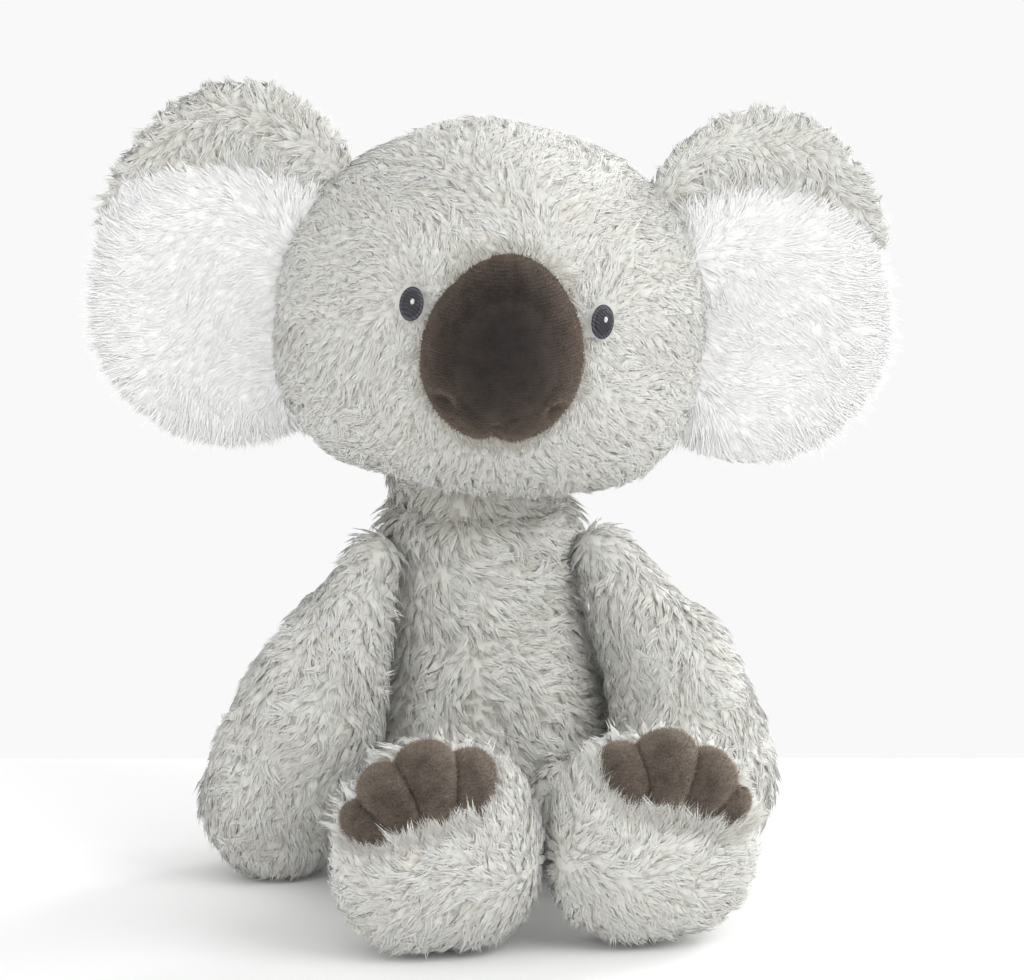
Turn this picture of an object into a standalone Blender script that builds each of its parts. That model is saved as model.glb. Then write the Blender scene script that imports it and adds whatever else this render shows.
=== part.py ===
"""A seated plush koala: fur skins, stuffing, nose, embroidered eyes, ears, arms, legs and feet.

Metres, +Z up, the floor at z = 0, and the toy looks along -Y. Left and right are the viewer's. Every limb
starts in a rounded root that turns in a hollow of the piece that carries it.
"""

import math

import bmesh
import bpy
from mathutils import Matrix, Vector

mm = 0.001

# Cloth and fits
FUR_THICKNESS = 5.0 * mm
PLUSH_THICKNESS = 2.0 * mm
CLEARANCE = 0.3 * mm
SEAT_CLEARANCE = 0.5 * mm
EAR_CLEARANCE = 0.8 * mm

# Body
BODY_HALF_WIDTH = 43.0 * mm
BODY_HALF_DEPTH = 39.0 * mm
BODY_HEIGHT = 122.0 * mm
# How far a cutter runs past what it cuts
OVERRUN = BODY_HEIGHT
POUCH_HEIGHT = 24.0 * mm
# Height share, then the share of the half width and half depth that the body has there
BODY_OUTLINE_SHARES = (
    (0.0, 0.6),
    (0.035, 0.79),
    (0.11, 0.93),
    (0.22, 0.99),
    (0.36, 1.0),
    (0.52, 0.95),
    (0.66, 0.87),
    (0.8, 0.8),
    (0.9, 0.76),
    (0.955, 0.69),
    (1.0, 0.48),
)
# Faces round the body, and from its seat to its top
BODY_FACETS = (24, 15)

# Neck
NECK_RISE = 6.0 * mm
NECK_BACK = 2.0 * mm
NECK_RADIUS = 28.0 * mm
NECK_HEIGHT = BODY_HEIGHT + NECK_RISE
# Faces round the neck's ball and its seats, and from pole to pole
NECK_FACETS = (24, 14)

# Head, in its own frame: its centre as seen from the neck before the head is tipped and turned
HEAD_HALF_WIDTH = 71.5 * mm
HEAD_HALF_DEPTH = 56.0 * mm
HEAD_HALF_HEIGHT = 59.5 * mm
CHIN_GAP = 1.0 * mm
HEAD_RISE = HEAD_HALF_HEIGHT + CHIN_GAP
HEAD_FORWARD = 11.0 * mm
HEAD_ASIDE = 3.0 * mm
# Faces round the head, and from its top to its chin
HEAD_FACETS = (28, 16)
HEAD_TIP_DEGREES = 6.5
HEAD_TURN_DEGREES = -5.7
CHEEK_FULLNESS = 3.4

# Nose
NOSE_HALF_WIDTH = 26.5 * mm
NOSE_HALF_HEIGHT = 31.2 * mm
NOSE_REACH = 26.0 * mm
NOSE_SINK = 9.0 * mm
NOSE_SEAT = HEAD_HALF_DEPTH - NOSE_SINK
NOSE_DROP = 4.0 * mm
NOSE_TAPER_SHARE = 0.13
NOSE_NOTCH = 2.0 * mm

# Eyes
EYE_SPREAD = 31.0 * mm
EYE_RISE = 8.0 * mm
EYE_HALF_WIDTH = 4.1 * mm
EYE_HALF_HEIGHT = 5.7 * mm
EYE_THICKNESS = 1.6 * mm
EYE_RING_WIDTH = 1.3 * mm
EYE_EDGE = 0.3 * mm
EYE_GLINT_RADIUS = 0.85 * mm

# Ears
EAR_OVERLAP = 31.5 * mm
EAR_RISE = 9.0 * mm
EAR_BACK = 5.0 * mm
EAR_HALF_WIDTH = 46.0 * mm
EAR_HALF_HEIGHT = 59.5 * mm
EAR_HALF_THICKNESS = 9.5 * mm
EAR_CUP = 11.0 * mm
EAR_SPREAD = HEAD_HALF_WIDTH + EAR_HALF_WIDTH - EAR_OVERLAP
EAR_RIM_TOP = 23.5 * mm
EAR_RIM_SIDE = 4.0 * mm
EAR_RIM_BOTTOM = 2.5 * mm
LINING_HALF_WIDTH = EAR_HALF_WIDTH - EAR_RIM_SIDE
LINING_HALF_HEIGHT = EAR_HALF_HEIGHT - (EAR_RIM_TOP + EAR_RIM_BOTTOM) / 2
LINING_DROP = (EAR_RIM_TOP - EAR_RIM_BOTTOM) / 2
LINING_HALF_THICKNESS = 6.0 * mm
LINING_SINK = 3.0 * mm
LINING_FORWARD = EAR_HALF_THICKNESS - LINING_SINK
EAR_HINGE_INSET = 6.0 * mm
EAR_HINGE_SPREAD = HEAD_HALF_WIDTH - EAR_HINGE_INSET
EAR_HINGE_RISE = 12.0 * mm
EAR_HINGE_LEAN_DEGREES = 19.0
EAR_SWING_DEGREES = (-20.0, -10.0, 0.0, 10.0, 20.0)
EAR_DROOP_DEGREES = {"left": 3.0, "right": -3.0}

# Arms
SHOULDER_DROP = 17.0 * mm
SHOULDER_HEIGHT = BODY_HEIGHT - SHOULDER_DROP
SHOULDER_RADIUS = 10.0 * mm
# Round the body from its side towards its front, and how far the root's centre stands off the body
SHOULDER_FORWARD_DEGREES = 27.0
SHOULDER_STAND_OFF = 9.0 * mm
PAW_RADIUS = 25.0 * mm
PAW_GAP = 3.5 * mm
PAW_SPREAD = BODY_HALF_WIDTH + PAW_GAP + PAW_RADIUS
PAW_FORWARD = 18.0 * mm
ARM_BOW_OUT = 4.0 * mm
ARM_BOW_FORWARD = 9.0 * mm
# Share of the way down the arm, then the share of the growth from shoulder to paw
ARM_SWELL_SHARES = (
    (0.0, 0.0),
    (0.12, 0.17),
    (0.25, 0.43),
    (0.4, 0.73),
    (0.55, 0.92),
    (0.75, 0.99),
    (1.0, 1.0),
)

# Legs
HIP_HEIGHT = 24.0 * mm
HIP_RADIUS = 18.5 * mm
HIP_FORWARD_DEGREES = 61.0
HIP_STAND_OFF = 11.5 * mm
LEG_REACH = 44.5 * mm
ANKLE_INSET = 1.0 * mm
ANKLE_HEIGHT = 27.0 * mm
ANKLE_RADIUS = 14.0 * mm
# Share of the way to the ankle, then the share of the change from hip to ankle
LEG_TAPER_SHARES = (
    (0.0, 0.0),
    (0.2, 0.4),
    (0.45, 0.55),
    (0.75, 0.6),
    (1.0, 1.0),
)

# Feet
FOOT_HALF_WIDTH = 34.5 * mm
FEET_HALF_GAP = 0.7 * mm
FOOT_SPREAD = FOOT_HALF_WIDTH + FEET_HALF_GAP
FOOT_HALF_DEPTH = 22.0 * mm
# From the ankle's centre to the back of the foot
HEEL_GAP = 8.0 * mm
FOOT_HALF_HEIGHT = 35.0 * mm
FLAT_DEPTH = 0.5 * mm
SOLE_DEPTH = 11.0 * mm
FOOT_SQUARENESS = 2.3
TOE_FORWARD = 7.0 * mm
TOE_STAND_OUT = 2.0 * mm
TOE_HALF_WIDTH = 10.5 * mm
TOE_HALF_LENGTH = 15.0 * mm
TOE_HALF_DEPTH = 13.0 * mm
TOE_REACH = FOOT_HALF_HEIGHT + TOE_STAND_OUT - TOE_HALF_LENGTH
# Degrees from the top of the foot towards its outer side, then the share of a full toe's size
TOE_PLACES = ((-22.0, 0.93), (8.0, 1.05), (38.0, 1.0), (62.0, 0.8))
TOE_SLOT_DEPTH = 9.0 * mm
TOE_SLOT_RADIUS = FOOT_HALF_HEIGHT - TOE_SLOT_DEPTH
TOE_SLOT_BACK = 3.0 * mm
TOE_SLOT_MARGIN_DEGREES = 8.0

SIDES = {"left": -1, "right": 1}


def clear_scene():
    for obj in list(bpy.data.objects):
        bpy.data.objects.remove(obj, do_unlink=True)


def linear(share):
    """One sRGB channel, from 0 to 1, as linear light."""
    return share / 12.92 if share <= 0.04045 else ((share + 0.055) / 1.055) ** 2.4


def finish(name, colour, roughness):
    """A Principled cloth of one sRGB colour, given as RRGGBB."""
    made = bpy.data.materials.new(name)
    made.use_nodes = True
    shader = made.node_tree.nodes["Principled BSDF"]
    channels = [linear(int(colour[at : at + 2], 16) / 255) for at in (0, 2, 4)]
    shader.inputs["Base Color"].default_value = (*channels, 1)
    shader.inputs["Roughness"].default_value = roughness
    shader.inputs["Metallic"].default_value = 0
    return made


def pivot(name, place, parent=None):
    """An empty on a joint's axis, which carries all the pieces of one moving body."""
    empty = bpy.data.objects.new(name, None)
    bpy.context.collection.objects.link(empty)
    if parent:
        empty.parent = parent
        empty.location = place - parent.matrix_world.translation
    else:
        empty.location = place
    bpy.context.view_layer.update()
    return empty


def piece(name, shape, carrier, cloth):
    """One sub-part from a bmesh in the toy's frame, with its origin on its carrier's pivot."""
    centre = carrier.matrix_world.translation
    bmesh.ops.translate(shape, verts=shape.verts, vec=-centre)
    bmesh.ops.triangulate(shape, faces=shape.faces)
    bmesh.ops.recalc_face_normals(shape, faces=shape.faces)
    mesh = bpy.data.meshes.new(name)
    shape.to_mesh(mesh)
    shape.free()
    mesh.shade_smooth()
    obj = bpy.data.objects.new(name, mesh)
    bpy.context.collection.objects.link(obj)
    obj.parent = carrier
    if cloth:
        mesh.materials.append(cloth)
    return obj


def cutter(name, shape, carrier):
    """A shape that is only taken away from others."""
    obj = piece(name, shape, carrier, None)
    obj.hide_render = True
    obj.display_type = "WIRE"
    return obj


def combine(obj, others, operation="DIFFERENCE"):
    for other in others:
        modifier = obj.modifiers.new(f"{operation.lower()} {other.name}", "BOOLEAN")
        modifier.operation = operation
        modifier.solver = "EXACT"
        modifier.object = other


def ball(centre, halves, across, down, shape=None):
    """A unit ball, reshaped by shape(x, y, z) if given, scaled to its half sizes and moved to its centre."""
    made = bmesh.new()
    bmesh.ops.create_uvsphere(made, u_segments=across, v_segments=down, radius=1)
    for vertex in made.verts:
        place = shape(*vertex.co) if shape else vertex.co
        vertex.co = Vector(p * h for p, h in zip(place, halves)) + centre
    return made


def box(low, high):
    made = bmesh.new()
    bmesh.ops.create_cube(made, size=1)
    size = high - low
    for vertex in made.verts:
        vertex.co = low + Vector((p + 0.5) * s for p, s in zip(vertex.co, size))
    return made


def lofted(rings, start=None, end=None, looped=False):
    """Rings bridged in order. The last meets the first, or each end closes on a pole or a flat face."""
    made = bmesh.new()
    loops = [[made.verts.new(point) for point in ring] for ring in rings]
    count = len(loops[0])
    if looped:
        loops.append(loops[0])
    for near, far in zip(loops, loops[1:]):
        for at in range(count):
            after = (at + 1) % count
            made.faces.new((near[at], near[after], far[after], far[at]))
    for loop, pole in () if looped else ((loops[0], start), (loops[-1], end)):
        if pole is None:
            made.faces.new(loop)
            continue
        tip = made.verts.new(pole)
        for at in range(count):
            made.faces.new((loop[at], loop[(at + 1) % count], tip))
    return made


def smooth_table(table, count):
    """Rows read at even steps from a smooth curve, Catmull and Rom's, through the rows of a table."""
    rows = [Vector(row) for row in table]
    rows = [2 * rows[0] - rows[1], *rows, 2 * rows[-1] - rows[-2]]
    spans = len(rows) - 3
    found = []
    for step in range(count):
        along = step / (count - 1) * spans
        at = min(int(along), spans - 1)
        t = along - at
        a, b, c, d = rows[at : at + 4]
        bend = (2 * a - 5 * b + 4 * c - d) * t * t + (3 * b - a - 3 * c + d) * t**3
        found.append(b + ((c - a) * t + bend) / 2)
    return found


def limb(spine, radii, across, cap_steps):
    """Circles swept along a spine, with half a ball on each end."""
    stations = []
    for at, centre in enumerate(spine):
        before = spine[max(at - 1, 0)]
        after = spine[min(at + 1, len(spine) - 1)]
        stations.append((centre, (after - before).normalized(), radii[at]))
    first, last = stations[0], stations[-1]
    steps = [math.pi / 2 * step / cap_steps for step in range(1, cap_steps)]
    start = [(first, -math.cos(a), math.sin(a)) for a in steps]
    end = [(last, math.cos(a), math.sin(a)) for a in reversed(steps)]
    rows = start + [(station, 0, 1) for station in stations] + end
    rings = []
    for (centre, ahead, radius), out, round_share in rows:
        side = ahead.cross(Vector((1, 0, 0))).normalized()
        other = ahead.cross(side)
        middle = centre + ahead * radius * out
        ring = []
        for step in range(across):
            turn = math.tau * step / across
            way = side * math.cos(turn) + other * math.sin(turn)
            ring.append(middle + way * radius * round_share)
        rings.append(ring)
    start_pole = first[0] - first[1] * first[2]
    end_pole = last[0] + last[1] * last[2]
    return lofted(rings, start_pole, end_pole)


def body_form(inset, across, down):
    """The pear of the body, taken in by inset all round."""
    share = (BODY_HEIGHT - 2 * inset) / BODY_HEIGHT
    rings = []
    for height_share, round_share in smooth_table(BODY_OUTLINE_SHARES, down):
        height = inset + height_share * share * BODY_HEIGHT
        half_width = BODY_HALF_WIDTH * round_share - inset
        half_depth = BODY_HALF_DEPTH * round_share - inset
        ring = []
        for step in range(across):
            turn = math.tau * step / across
            ring.append(Vector((half_width * math.cos(turn), half_depth * math.sin(turn), height)))
        rings.append(ring)
    return lofted(rings)


def beside_body(side, height, forward_degrees, stand_off):
    """A point level with a height of the body, round from its side towards its front, and off its surface."""
    shares = smooth_table(BODY_OUTLINE_SHARES, 4 * len(BODY_OUTLINE_SHARES))
    round_share = min(shares, key=lambda row: abs(row[0] * BODY_HEIGHT - height))[1]
    turn = math.radians(forward_degrees)
    half_width = BODY_HALF_WIDTH * round_share
    half_depth = BODY_HALF_DEPTH * round_share
    surface = Vector((side * half_width * math.cos(turn), -half_depth * math.sin(turn), height))
    out = Vector((side * math.cos(turn) / half_width, -math.sin(turn) / half_depth, 0))
    return surface + out.normalized() * stand_off


def head_place():
    """The matrix that takes the head's own frame, centred on the head, to the toy's frame."""
    neck = Matrix.Translation((0, NECK_BACK, NECK_HEIGHT))
    turn = Matrix.Rotation(math.radians(HEAD_TURN_DEGREES), 4, "Z")
    tip = Matrix.Rotation(math.radians(HEAD_TIP_DEGREES), 4, "Y")
    return neck @ turn @ tip @ Matrix.Translation((-HEAD_ASIDE, -HEAD_FORWARD, HEAD_RISE))


def cheeks(x, y, z):
    """The lower half of the unit ball swells towards a rounded box, for full cheeks and a flat chin."""
    round_share = math.hypot(x, y)
    if z >= 0 or round_share == 0:
        return x, y, z
    full = max(1 - abs(z) ** CHEEK_FULLNESS, 0) ** (1 / CHEEK_FULLNESS)
    return x * full / round_share, y * full / round_share, z


def head_form(inset, across, down):
    halves = (HEAD_HALF_WIDTH - inset, HEAD_HALF_DEPTH - inset, HEAD_HALF_HEIGHT - inset)
    return ball(Vector(), halves, across, down, cheeks)


def in_head(shape, *moves):
    """A shape in the head's own frame, moved there first if need be, taken to the toy's frame."""
    matrix = head_place()
    for move in moves:
        matrix = matrix @ move
    bmesh.ops.transform(shape, matrix=matrix, verts=shape.verts)
    return shape


def nose_form(inset, across, down):
    """An egg, narrow at the top, with a shallow notch at the bottom of its front seam."""

    def egg(x, y, z):
        narrow = 1 - NOSE_TAPER_SHARE * z
        notch = NOSE_NOTCH / NOSE_HALF_HEIGHT * max(-z, 0) ** 4 * max(1 - 4 * abs(x), 0)
        return x * narrow, y, z + notch

    halves = (NOSE_HALF_WIDTH - inset, NOSE_REACH - inset, NOSE_HALF_HEIGHT - inset)
    return ball(Vector((0, -NOSE_SEAT, -NOSE_DROP)), halves, across, down, egg)


def eye_place(side):
    """The matrix of one eye: its own -Y is the head's outward normal there."""
    x = side * EYE_SPREAD
    flat = (x / HEAD_HALF_WIDTH) ** 2 + (EYE_RISE / HEAD_HALF_HEIGHT) ** 2
    y = -HEAD_HALF_DEPTH * math.sqrt(1 - flat)
    out = Vector((x / HEAD_HALF_WIDTH**2, y / HEAD_HALF_DEPTH**2, EYE_RISE / HEAD_HALF_HEIGHT**2))
    out.normalize()
    across = out.cross(Vector((0, 0, -1))).normalized()
    up = across.cross(-out)
    turn = Matrix((across, -out, up)).transposed().to_4x4()
    return Matrix.Translation(Vector((x, y, EYE_RISE)) + out * 2 * CLEARANCE) @ turn


def oval_patch(half_width, half_height, thickness, across, border=None):
    """An oval of stitches that stands out from y = 0 towards -Y: whole, or only a border of some width."""
    loops = [(0, 0), (0, thickness / 2), (EYE_EDGE, thickness)]
    if border:
        loops += [(border, thickness), (border, 0)]
    rings = []
    for inset, depth in loops:
        ring = []
        for step in range(across):
            turn = math.tau * step / across
            x = (half_width - inset) * math.cos(turn)
            ring.append(Vector((x, -depth, (half_height - inset) * math.sin(turn))))
        rings.append(ring)
    return lofted(rings, looped=bool(border))


def ear_droop(side_name):
    return Matrix.Rotation(math.radians(EAR_DROOP_DEGREES[side_name] * SIDES[side_name]), 4, "Y")


def ear_hinge(side_name):
    """A point on the ear's root line and its direction, in the head's own frame before the droop."""
    side = SIDES[side_name]
    lean = math.radians(EAR_HINGE_LEAN_DEGREES)
    place = Vector((side * EAR_HINGE_SPREAD, EAR_BACK, EAR_HINGE_RISE))
    return place, Vector((-side * math.sin(lean), 0, math.cos(lean)))


def ear_form(side, half_width, half_height, half_thickness, drop, forward, grow, across, down):
    """A flat oval cushion, cupped forwards towards its rim."""
    halves = (half_width + grow, half_thickness + grow, half_height + grow)
    made = ball(Vector((0, -forward, -drop)), halves, across, down)
    for vertex in made.verts:
        rim = (vertex.co.x / EAR_HALF_WIDTH) ** 2 + (vertex.co.z / EAR_HALF_HEIGHT) ** 2
        vertex.co.y -= EAR_CUP * rim
    centre = Vector((side * EAR_SPREAD, EAR_BACK + EAR_CUP / 2, EAR_RISE))
    bmesh.ops.translate(made, verts=made.verts, vec=centre)
    return made


def shoulder_place(side):
    """The centre of the arm's root."""
    return beside_body(side, SHOULDER_HEIGHT, SHOULDER_FORWARD_DEGREES, SHOULDER_STAND_OFF)


def arm_form(side, inset, across):
    """The arm from its small sewn root to its full paw."""
    shoulder = shoulder_place(side)
    paw = Vector((side * PAW_SPREAD, -PAW_FORWARD, PAW_RADIUS - FLAT_DEPTH))
    bow = Vector((side * ARM_BOW_OUT, -ARM_BOW_FORWARD, 0))
    spine, radii = [], []
    for along, swell in smooth_table(ARM_SWELL_SHARES, len(ARM_SWELL_SHARES) + 1):
        spine.append(shoulder.lerp(paw, along) + bow * 4 * along * (1 - along))
        radii.append(SHOULDER_RADIUS + (PAW_RADIUS - SHOULDER_RADIUS) * swell - inset)
    return limb(spine, radii, across, across // 4)


def hip_place(side):
    """The centre of the leg's root."""
    return beside_body(side, HIP_HEIGHT, HIP_FORWARD_DEGREES, HIP_STAND_OFF)


def ankle_place(side):
    return Vector((side * (FOOT_SPREAD - ANKLE_INSET), hip_place(side).y - LEG_REACH, ANKLE_HEIGHT))


def leg_form(side, inset, across):
    spine, radii = [], []
    for along, change in LEG_TAPER_SHARES:
        spine.append(hip_place(side).lerp(ankle_place(side), along))
        radii.append(HIP_RADIUS + (ANKLE_RADIUS - HIP_RADIUS) * change - inset)
    return limb(spine, radii, across, across // 4)


def foot_centre(side):
    forward = ankle_place(side).y - HEEL_GAP - FOOT_HALF_DEPTH
    return Vector((side * FOOT_SPREAD, forward, FOOT_HALF_HEIGHT - FLAT_DEPTH))


def foot_form(side, inset, across, down):
    """A round cushion whose sole, the face towards -Y, is flatter than a ball."""

    def squared(x, y, z):
        powers = [abs(share) ** FOOT_SQUARENESS for share in (x, y, z)]
        size = sum(powers) ** (1 / FOOT_SQUARENESS)
        return x / size, y / size, z / size

    halves = (FOOT_HALF_WIDTH - inset, FOOT_HALF_DEPTH - inset, FOOT_HALF_HEIGHT - inset)
    return ball(foot_centre(side), halves, across, down, squared)


def toe_form(side, place, grow, across, down):
    """One toe: an egg that points out from the foot's centre."""
    degrees, size_share = place
    halves = (
        TOE_HALF_WIDTH * size_share + grow,
        TOE_HALF_DEPTH * size_share + grow,
        TOE_HALF_LENGTH * size_share + grow,
    )
    twist = Matrix.Rotation(math.radians(degrees), 3, "Z")
    made = ball(Vector((0, -TOE_FORWARD, TOE_REACH)), halves, across, down, lambda *at: twist @ Vector(at))
    turn = Matrix.Rotation(math.radians(side * degrees), 4, "Y")
    bmesh.ops.transform(made, matrix=Matrix.Translation(foot_centre(side)) @ turn, verts=made.verts)
    return made


def toe_slot(side):
    """The part of the foot's rim that the toes take the place of: a sector, open to the front."""
    angles = [degrees for degrees, _ in TOE_PLACES]
    low = math.radians(min(angles) - TOE_SLOT_MARGIN_DEGREES)
    high = math.radians(max(angles) + TOE_SLOT_MARGIN_DEGREES)
    steps = [low + (high - low) * step / 8 for step in range(9)]
    corners = [(TOE_SLOT_RADIUS, angle) for angle in steps] + [(OVERRUN, angle) for angle in reversed(steps)]
    rings = []
    for depth in (-OVERRUN, TOE_SLOT_BACK):
        ring = []
        for radius, angle in corners:
            way = Vector((side * math.sin(angle) * radius, depth, math.cos(angle) * radius))
            ring.append(foot_centre(side) + way)
        rings.append(ring)
    return lofted(rings)


def round_ball(centre, radius, across, down):
    return ball(centre, (radius, radius, radius), across, down)


def tube(start, end, radius, across):
    """A plain round cutter between two points."""
    ahead = (end - start).normalized()
    side = ahead.orthogonal().normalized()
    other = ahead.cross(side)
    rings = []
    for centre in (start, end):
        ring = []
        for step in range(across):
            turn = math.tau * step / across
            ring.append(centre + (side * math.cos(turn) + other * math.sin(turn)) * radius)
        rings.append(ring)
    return lofted(rings)


def build_body(rig, cloths):
    """The body's fur skin, its stuffing, and the pouch of pellets that weights its seat."""
    neck_ball = round_ball(rig["neck_place"], NECK_RADIUS + SEAT_CLEARANCE, *NECK_FACETS)
    seats = [cutter("neck_seat", neck_ball, rig["body"])]
    for side_name, side in SIDES.items():
        shoulder_ball = round_ball(shoulder_place(side), SHOULDER_RADIUS + SEAT_CLEARANCE, 16, 10)
        hip_ball = round_ball(hip_place(side), HIP_RADIUS + SEAT_CLEARANCE, 20, 12)
        seats.append(cutter(f"shoulder_{side_name}_seat", shoulder_ball, rig["body"]))
        seats.append(cutter(f"hip_{side_name}_seat", hip_ball, rig["body"]))
    hollow = cutter("body_hollow", body_form(FUR_THICKNESS, 16, 9), rig["body"])
    fur = piece("body_fur", body_form(0, *BODY_FACETS), rig["body"], cloths["fur"])
    combine(fur, [hollow, *seats])

    reach = Vector((OVERRUN, OVERRUN, 0))
    above = cutter(
        "above_pouch",
        box(Vector((0, 0, POUCH_HEIGHT)) - reach, Vector((0, 0, BODY_HEIGHT + OVERRUN)) + reach),
        rig["body"],
    )
    below = cutter(
        "below_stuffing",
        box(Vector((0, 0, -OVERRUN)) - reach, Vector((0, 0, POUCH_HEIGHT + CLEARANCE)) + reach),
        rig["body"],
    )
    packed = FUR_THICKNESS + CLEARANCE
    stuffing = piece("body_stuffing", body_form(packed, 16, 9), rig["body"], cloths["stuffing"])
    combine(stuffing, [below, *seats])
    pouch = piece("pellet_pouch", body_form(packed, 16, 9), rig["body"], cloths["calico"])
    combine(pouch, [above, *seats])
    piece("neck_wad", round_ball(rig["neck_place"], NECK_RADIUS, *NECK_FACETS), rig["neck"], cloths["stuffing"])


def build_head(rig, cloths):
    """The head's fur skin and stuffing, and the nose's plush cover with its own stuffing."""
    head = rig["head"]
    seat = cutter("head_seat", round_ball(rig["neck_place"], NECK_RADIUS + SEAT_CLEARANCE, *NECK_FACETS), head)
    hollow = cutter("head_hollow", in_head(head_form(FUR_THICKNESS, 18, 10)), head)
    fur = piece("head_fur", in_head(head_form(0, *HEAD_FACETS)), head, cloths["fur"])
    combine(fur, [hollow, seat])
    stuffing = piece(
        "head_stuffing",
        in_head(head_form(FUR_THICKNESS + CLEARANCE, 18, 10)),
        head,
        cloths["stuffing"],
    )
    combine(stuffing, [seat])

    face = cutter("face_side", in_head(head_form(-CLEARANCE, *HEAD_FACETS)), head)
    hollow = cutter("nose_hollow", in_head(nose_form(PLUSH_THICKNESS, 16, 10)), head)
    cover = piece("nose_cover", in_head(nose_form(0, 20, 14)), head, cloths["nose"])
    combine(cover, [hollow, face])
    filling = piece(
        "nose_stuffing",
        in_head(nose_form(PLUSH_THICKNESS + CLEARANCE, 16, 10)),
        head,
        cloths["stuffing"],
    )
    combine(filling, [face])


def build_eye(side_name, rig, cloths):
    """An embroidered eye: a pale ring of thread, a dark pupil in it, and a white glint in the pupil."""
    place = eye_place(SIDES[side_name])
    pupil_width = EYE_HALF_WIDTH - EYE_RING_WIDTH - CLEARANCE
    pupil_height = EYE_HALF_HEIGHT - EYE_RING_WIDTH - CLEARANCE
    # The pupil's border leaves a hole as wide as the glint, and taller, like the pupil itself
    patches = (
        ("ring", EYE_HALF_WIDTH, EYE_HALF_HEIGHT, EYE_RING_WIDTH),
        ("pupil", pupil_width, pupil_height, pupil_width - EYE_GLINT_RADIUS - CLEARANCE),
        ("glint", EYE_GLINT_RADIUS, EYE_GLINT_RADIUS, None),
    )
    for name, half_width, half_height, border in patches:
        shape = oval_patch(half_width, half_height, EYE_THICKNESS, 14, border)
        piece(f"eye_{side_name}_{name}", in_head(shape, place), rig["head"], cloths[name])


def build_ear(side_name, rig, cloths):
    """A grey back that rolls over the top, and a white lining set into it, both pinched at the root."""
    side = SIDES[side_name]
    carrier = rig[f"ear_{side_name}"]
    droop = ear_droop(side_name)
    place, way = ear_hinge(side_name)

    def lining(grow):
        return ear_form(
            side,
            LINING_HALF_WIDTH,
            LINING_HALF_HEIGHT,
            LINING_HALF_THICKNESS,
            LINING_DROP,
            LINING_FORWARD,
            grow,
            20,
            12,
        )

    back = piece(
        f"ear_{side_name}_back",
        in_head(
            ear_form(side, EAR_HALF_WIDTH, EAR_HALF_HEIGHT, EAR_HALF_THICKNESS, 0, 0, 0, 22, 14),
            droop,
        ),
        carrier,
        cloths["fur"],
    )
    front = piece(f"ear_{side_name}_lining", in_head(lining(0), droop), carrier, cloths["lining"])
    bed = cutter(f"ear_{side_name}_lining_bed", in_head(lining(CLEARANCE), droop), carrier)
    combine(back, [bed])
    for step, degrees in enumerate(EAR_SWING_DEGREES):
        shape = head_form(-EAR_CLEARANCE, *HEAD_FACETS)
        flop = Matrix.Rotation(math.radians(degrees), 4, way)
        swing = droop @ Matrix.Translation(place) @ flop @ Matrix.Translation(-place) @ droop.inverted()
        path = cutter(f"ear_{side_name}_path_{step}", in_head(shape, swing), carrier)
        combine(back, [path])
        combine(front, [path])


def build_arm(side_name, rig, cloths):
    side = SIDES[side_name]
    carrier = rig[f"arm_{side_name}"]
    root = carrier.matrix_world.translation
    fur = piece(f"arm_{side_name}_fur", arm_form(side, 0, 18), carrier, cloths["fur"])
    hollow = cutter(f"arm_{side_name}_hollow", arm_form(side, FUR_THICKNESS, 12), carrier)
    mouth = cutter(
        f"arm_{side_name}_mouth",
        tube(root, root + Vector((0, 0, SHOULDER_RADIUS + OVERRUN)), SHOULDER_RADIUS - FUR_THICKNESS, 12),
        carrier,
    )
    combine(fur, [hollow, mouth, rig["floor"]])
    piece(
        f"arm_{side_name}_stuffing",
        arm_form(side, FUR_THICKNESS + CLEARANCE, 12),
        carrier,
        cloths["stuffing"],
    )


def build_leg(side_name, rig, cloths):
    side = SIDES[side_name]
    carrier = rig[f"leg_{side_name}"]
    fur = piece(f"leg_{side_name}_fur", leg_form(side, 0, 20), carrier, cloths["fur"])
    hollow = cutter(f"leg_{side_name}_hollow", leg_form(side, FUR_THICKNESS, 12), carrier)
    root = hip_place(side)
    mouth = cutter(
        f"leg_{side_name}_mouth",
        tube(root, root + Vector((0, HIP_RADIUS + OVERRUN, 0)), HIP_RADIUS - 2 * FUR_THICKNESS, 14),
        carrier,
    )
    combine(fur, [hollow, mouth])
    piece(
        f"leg_{side_name}_stuffing",
        leg_form(side, FUR_THICKNESS + CLEARANCE, 12),
        carrier,
        cloths["stuffing"],
    )


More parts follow.
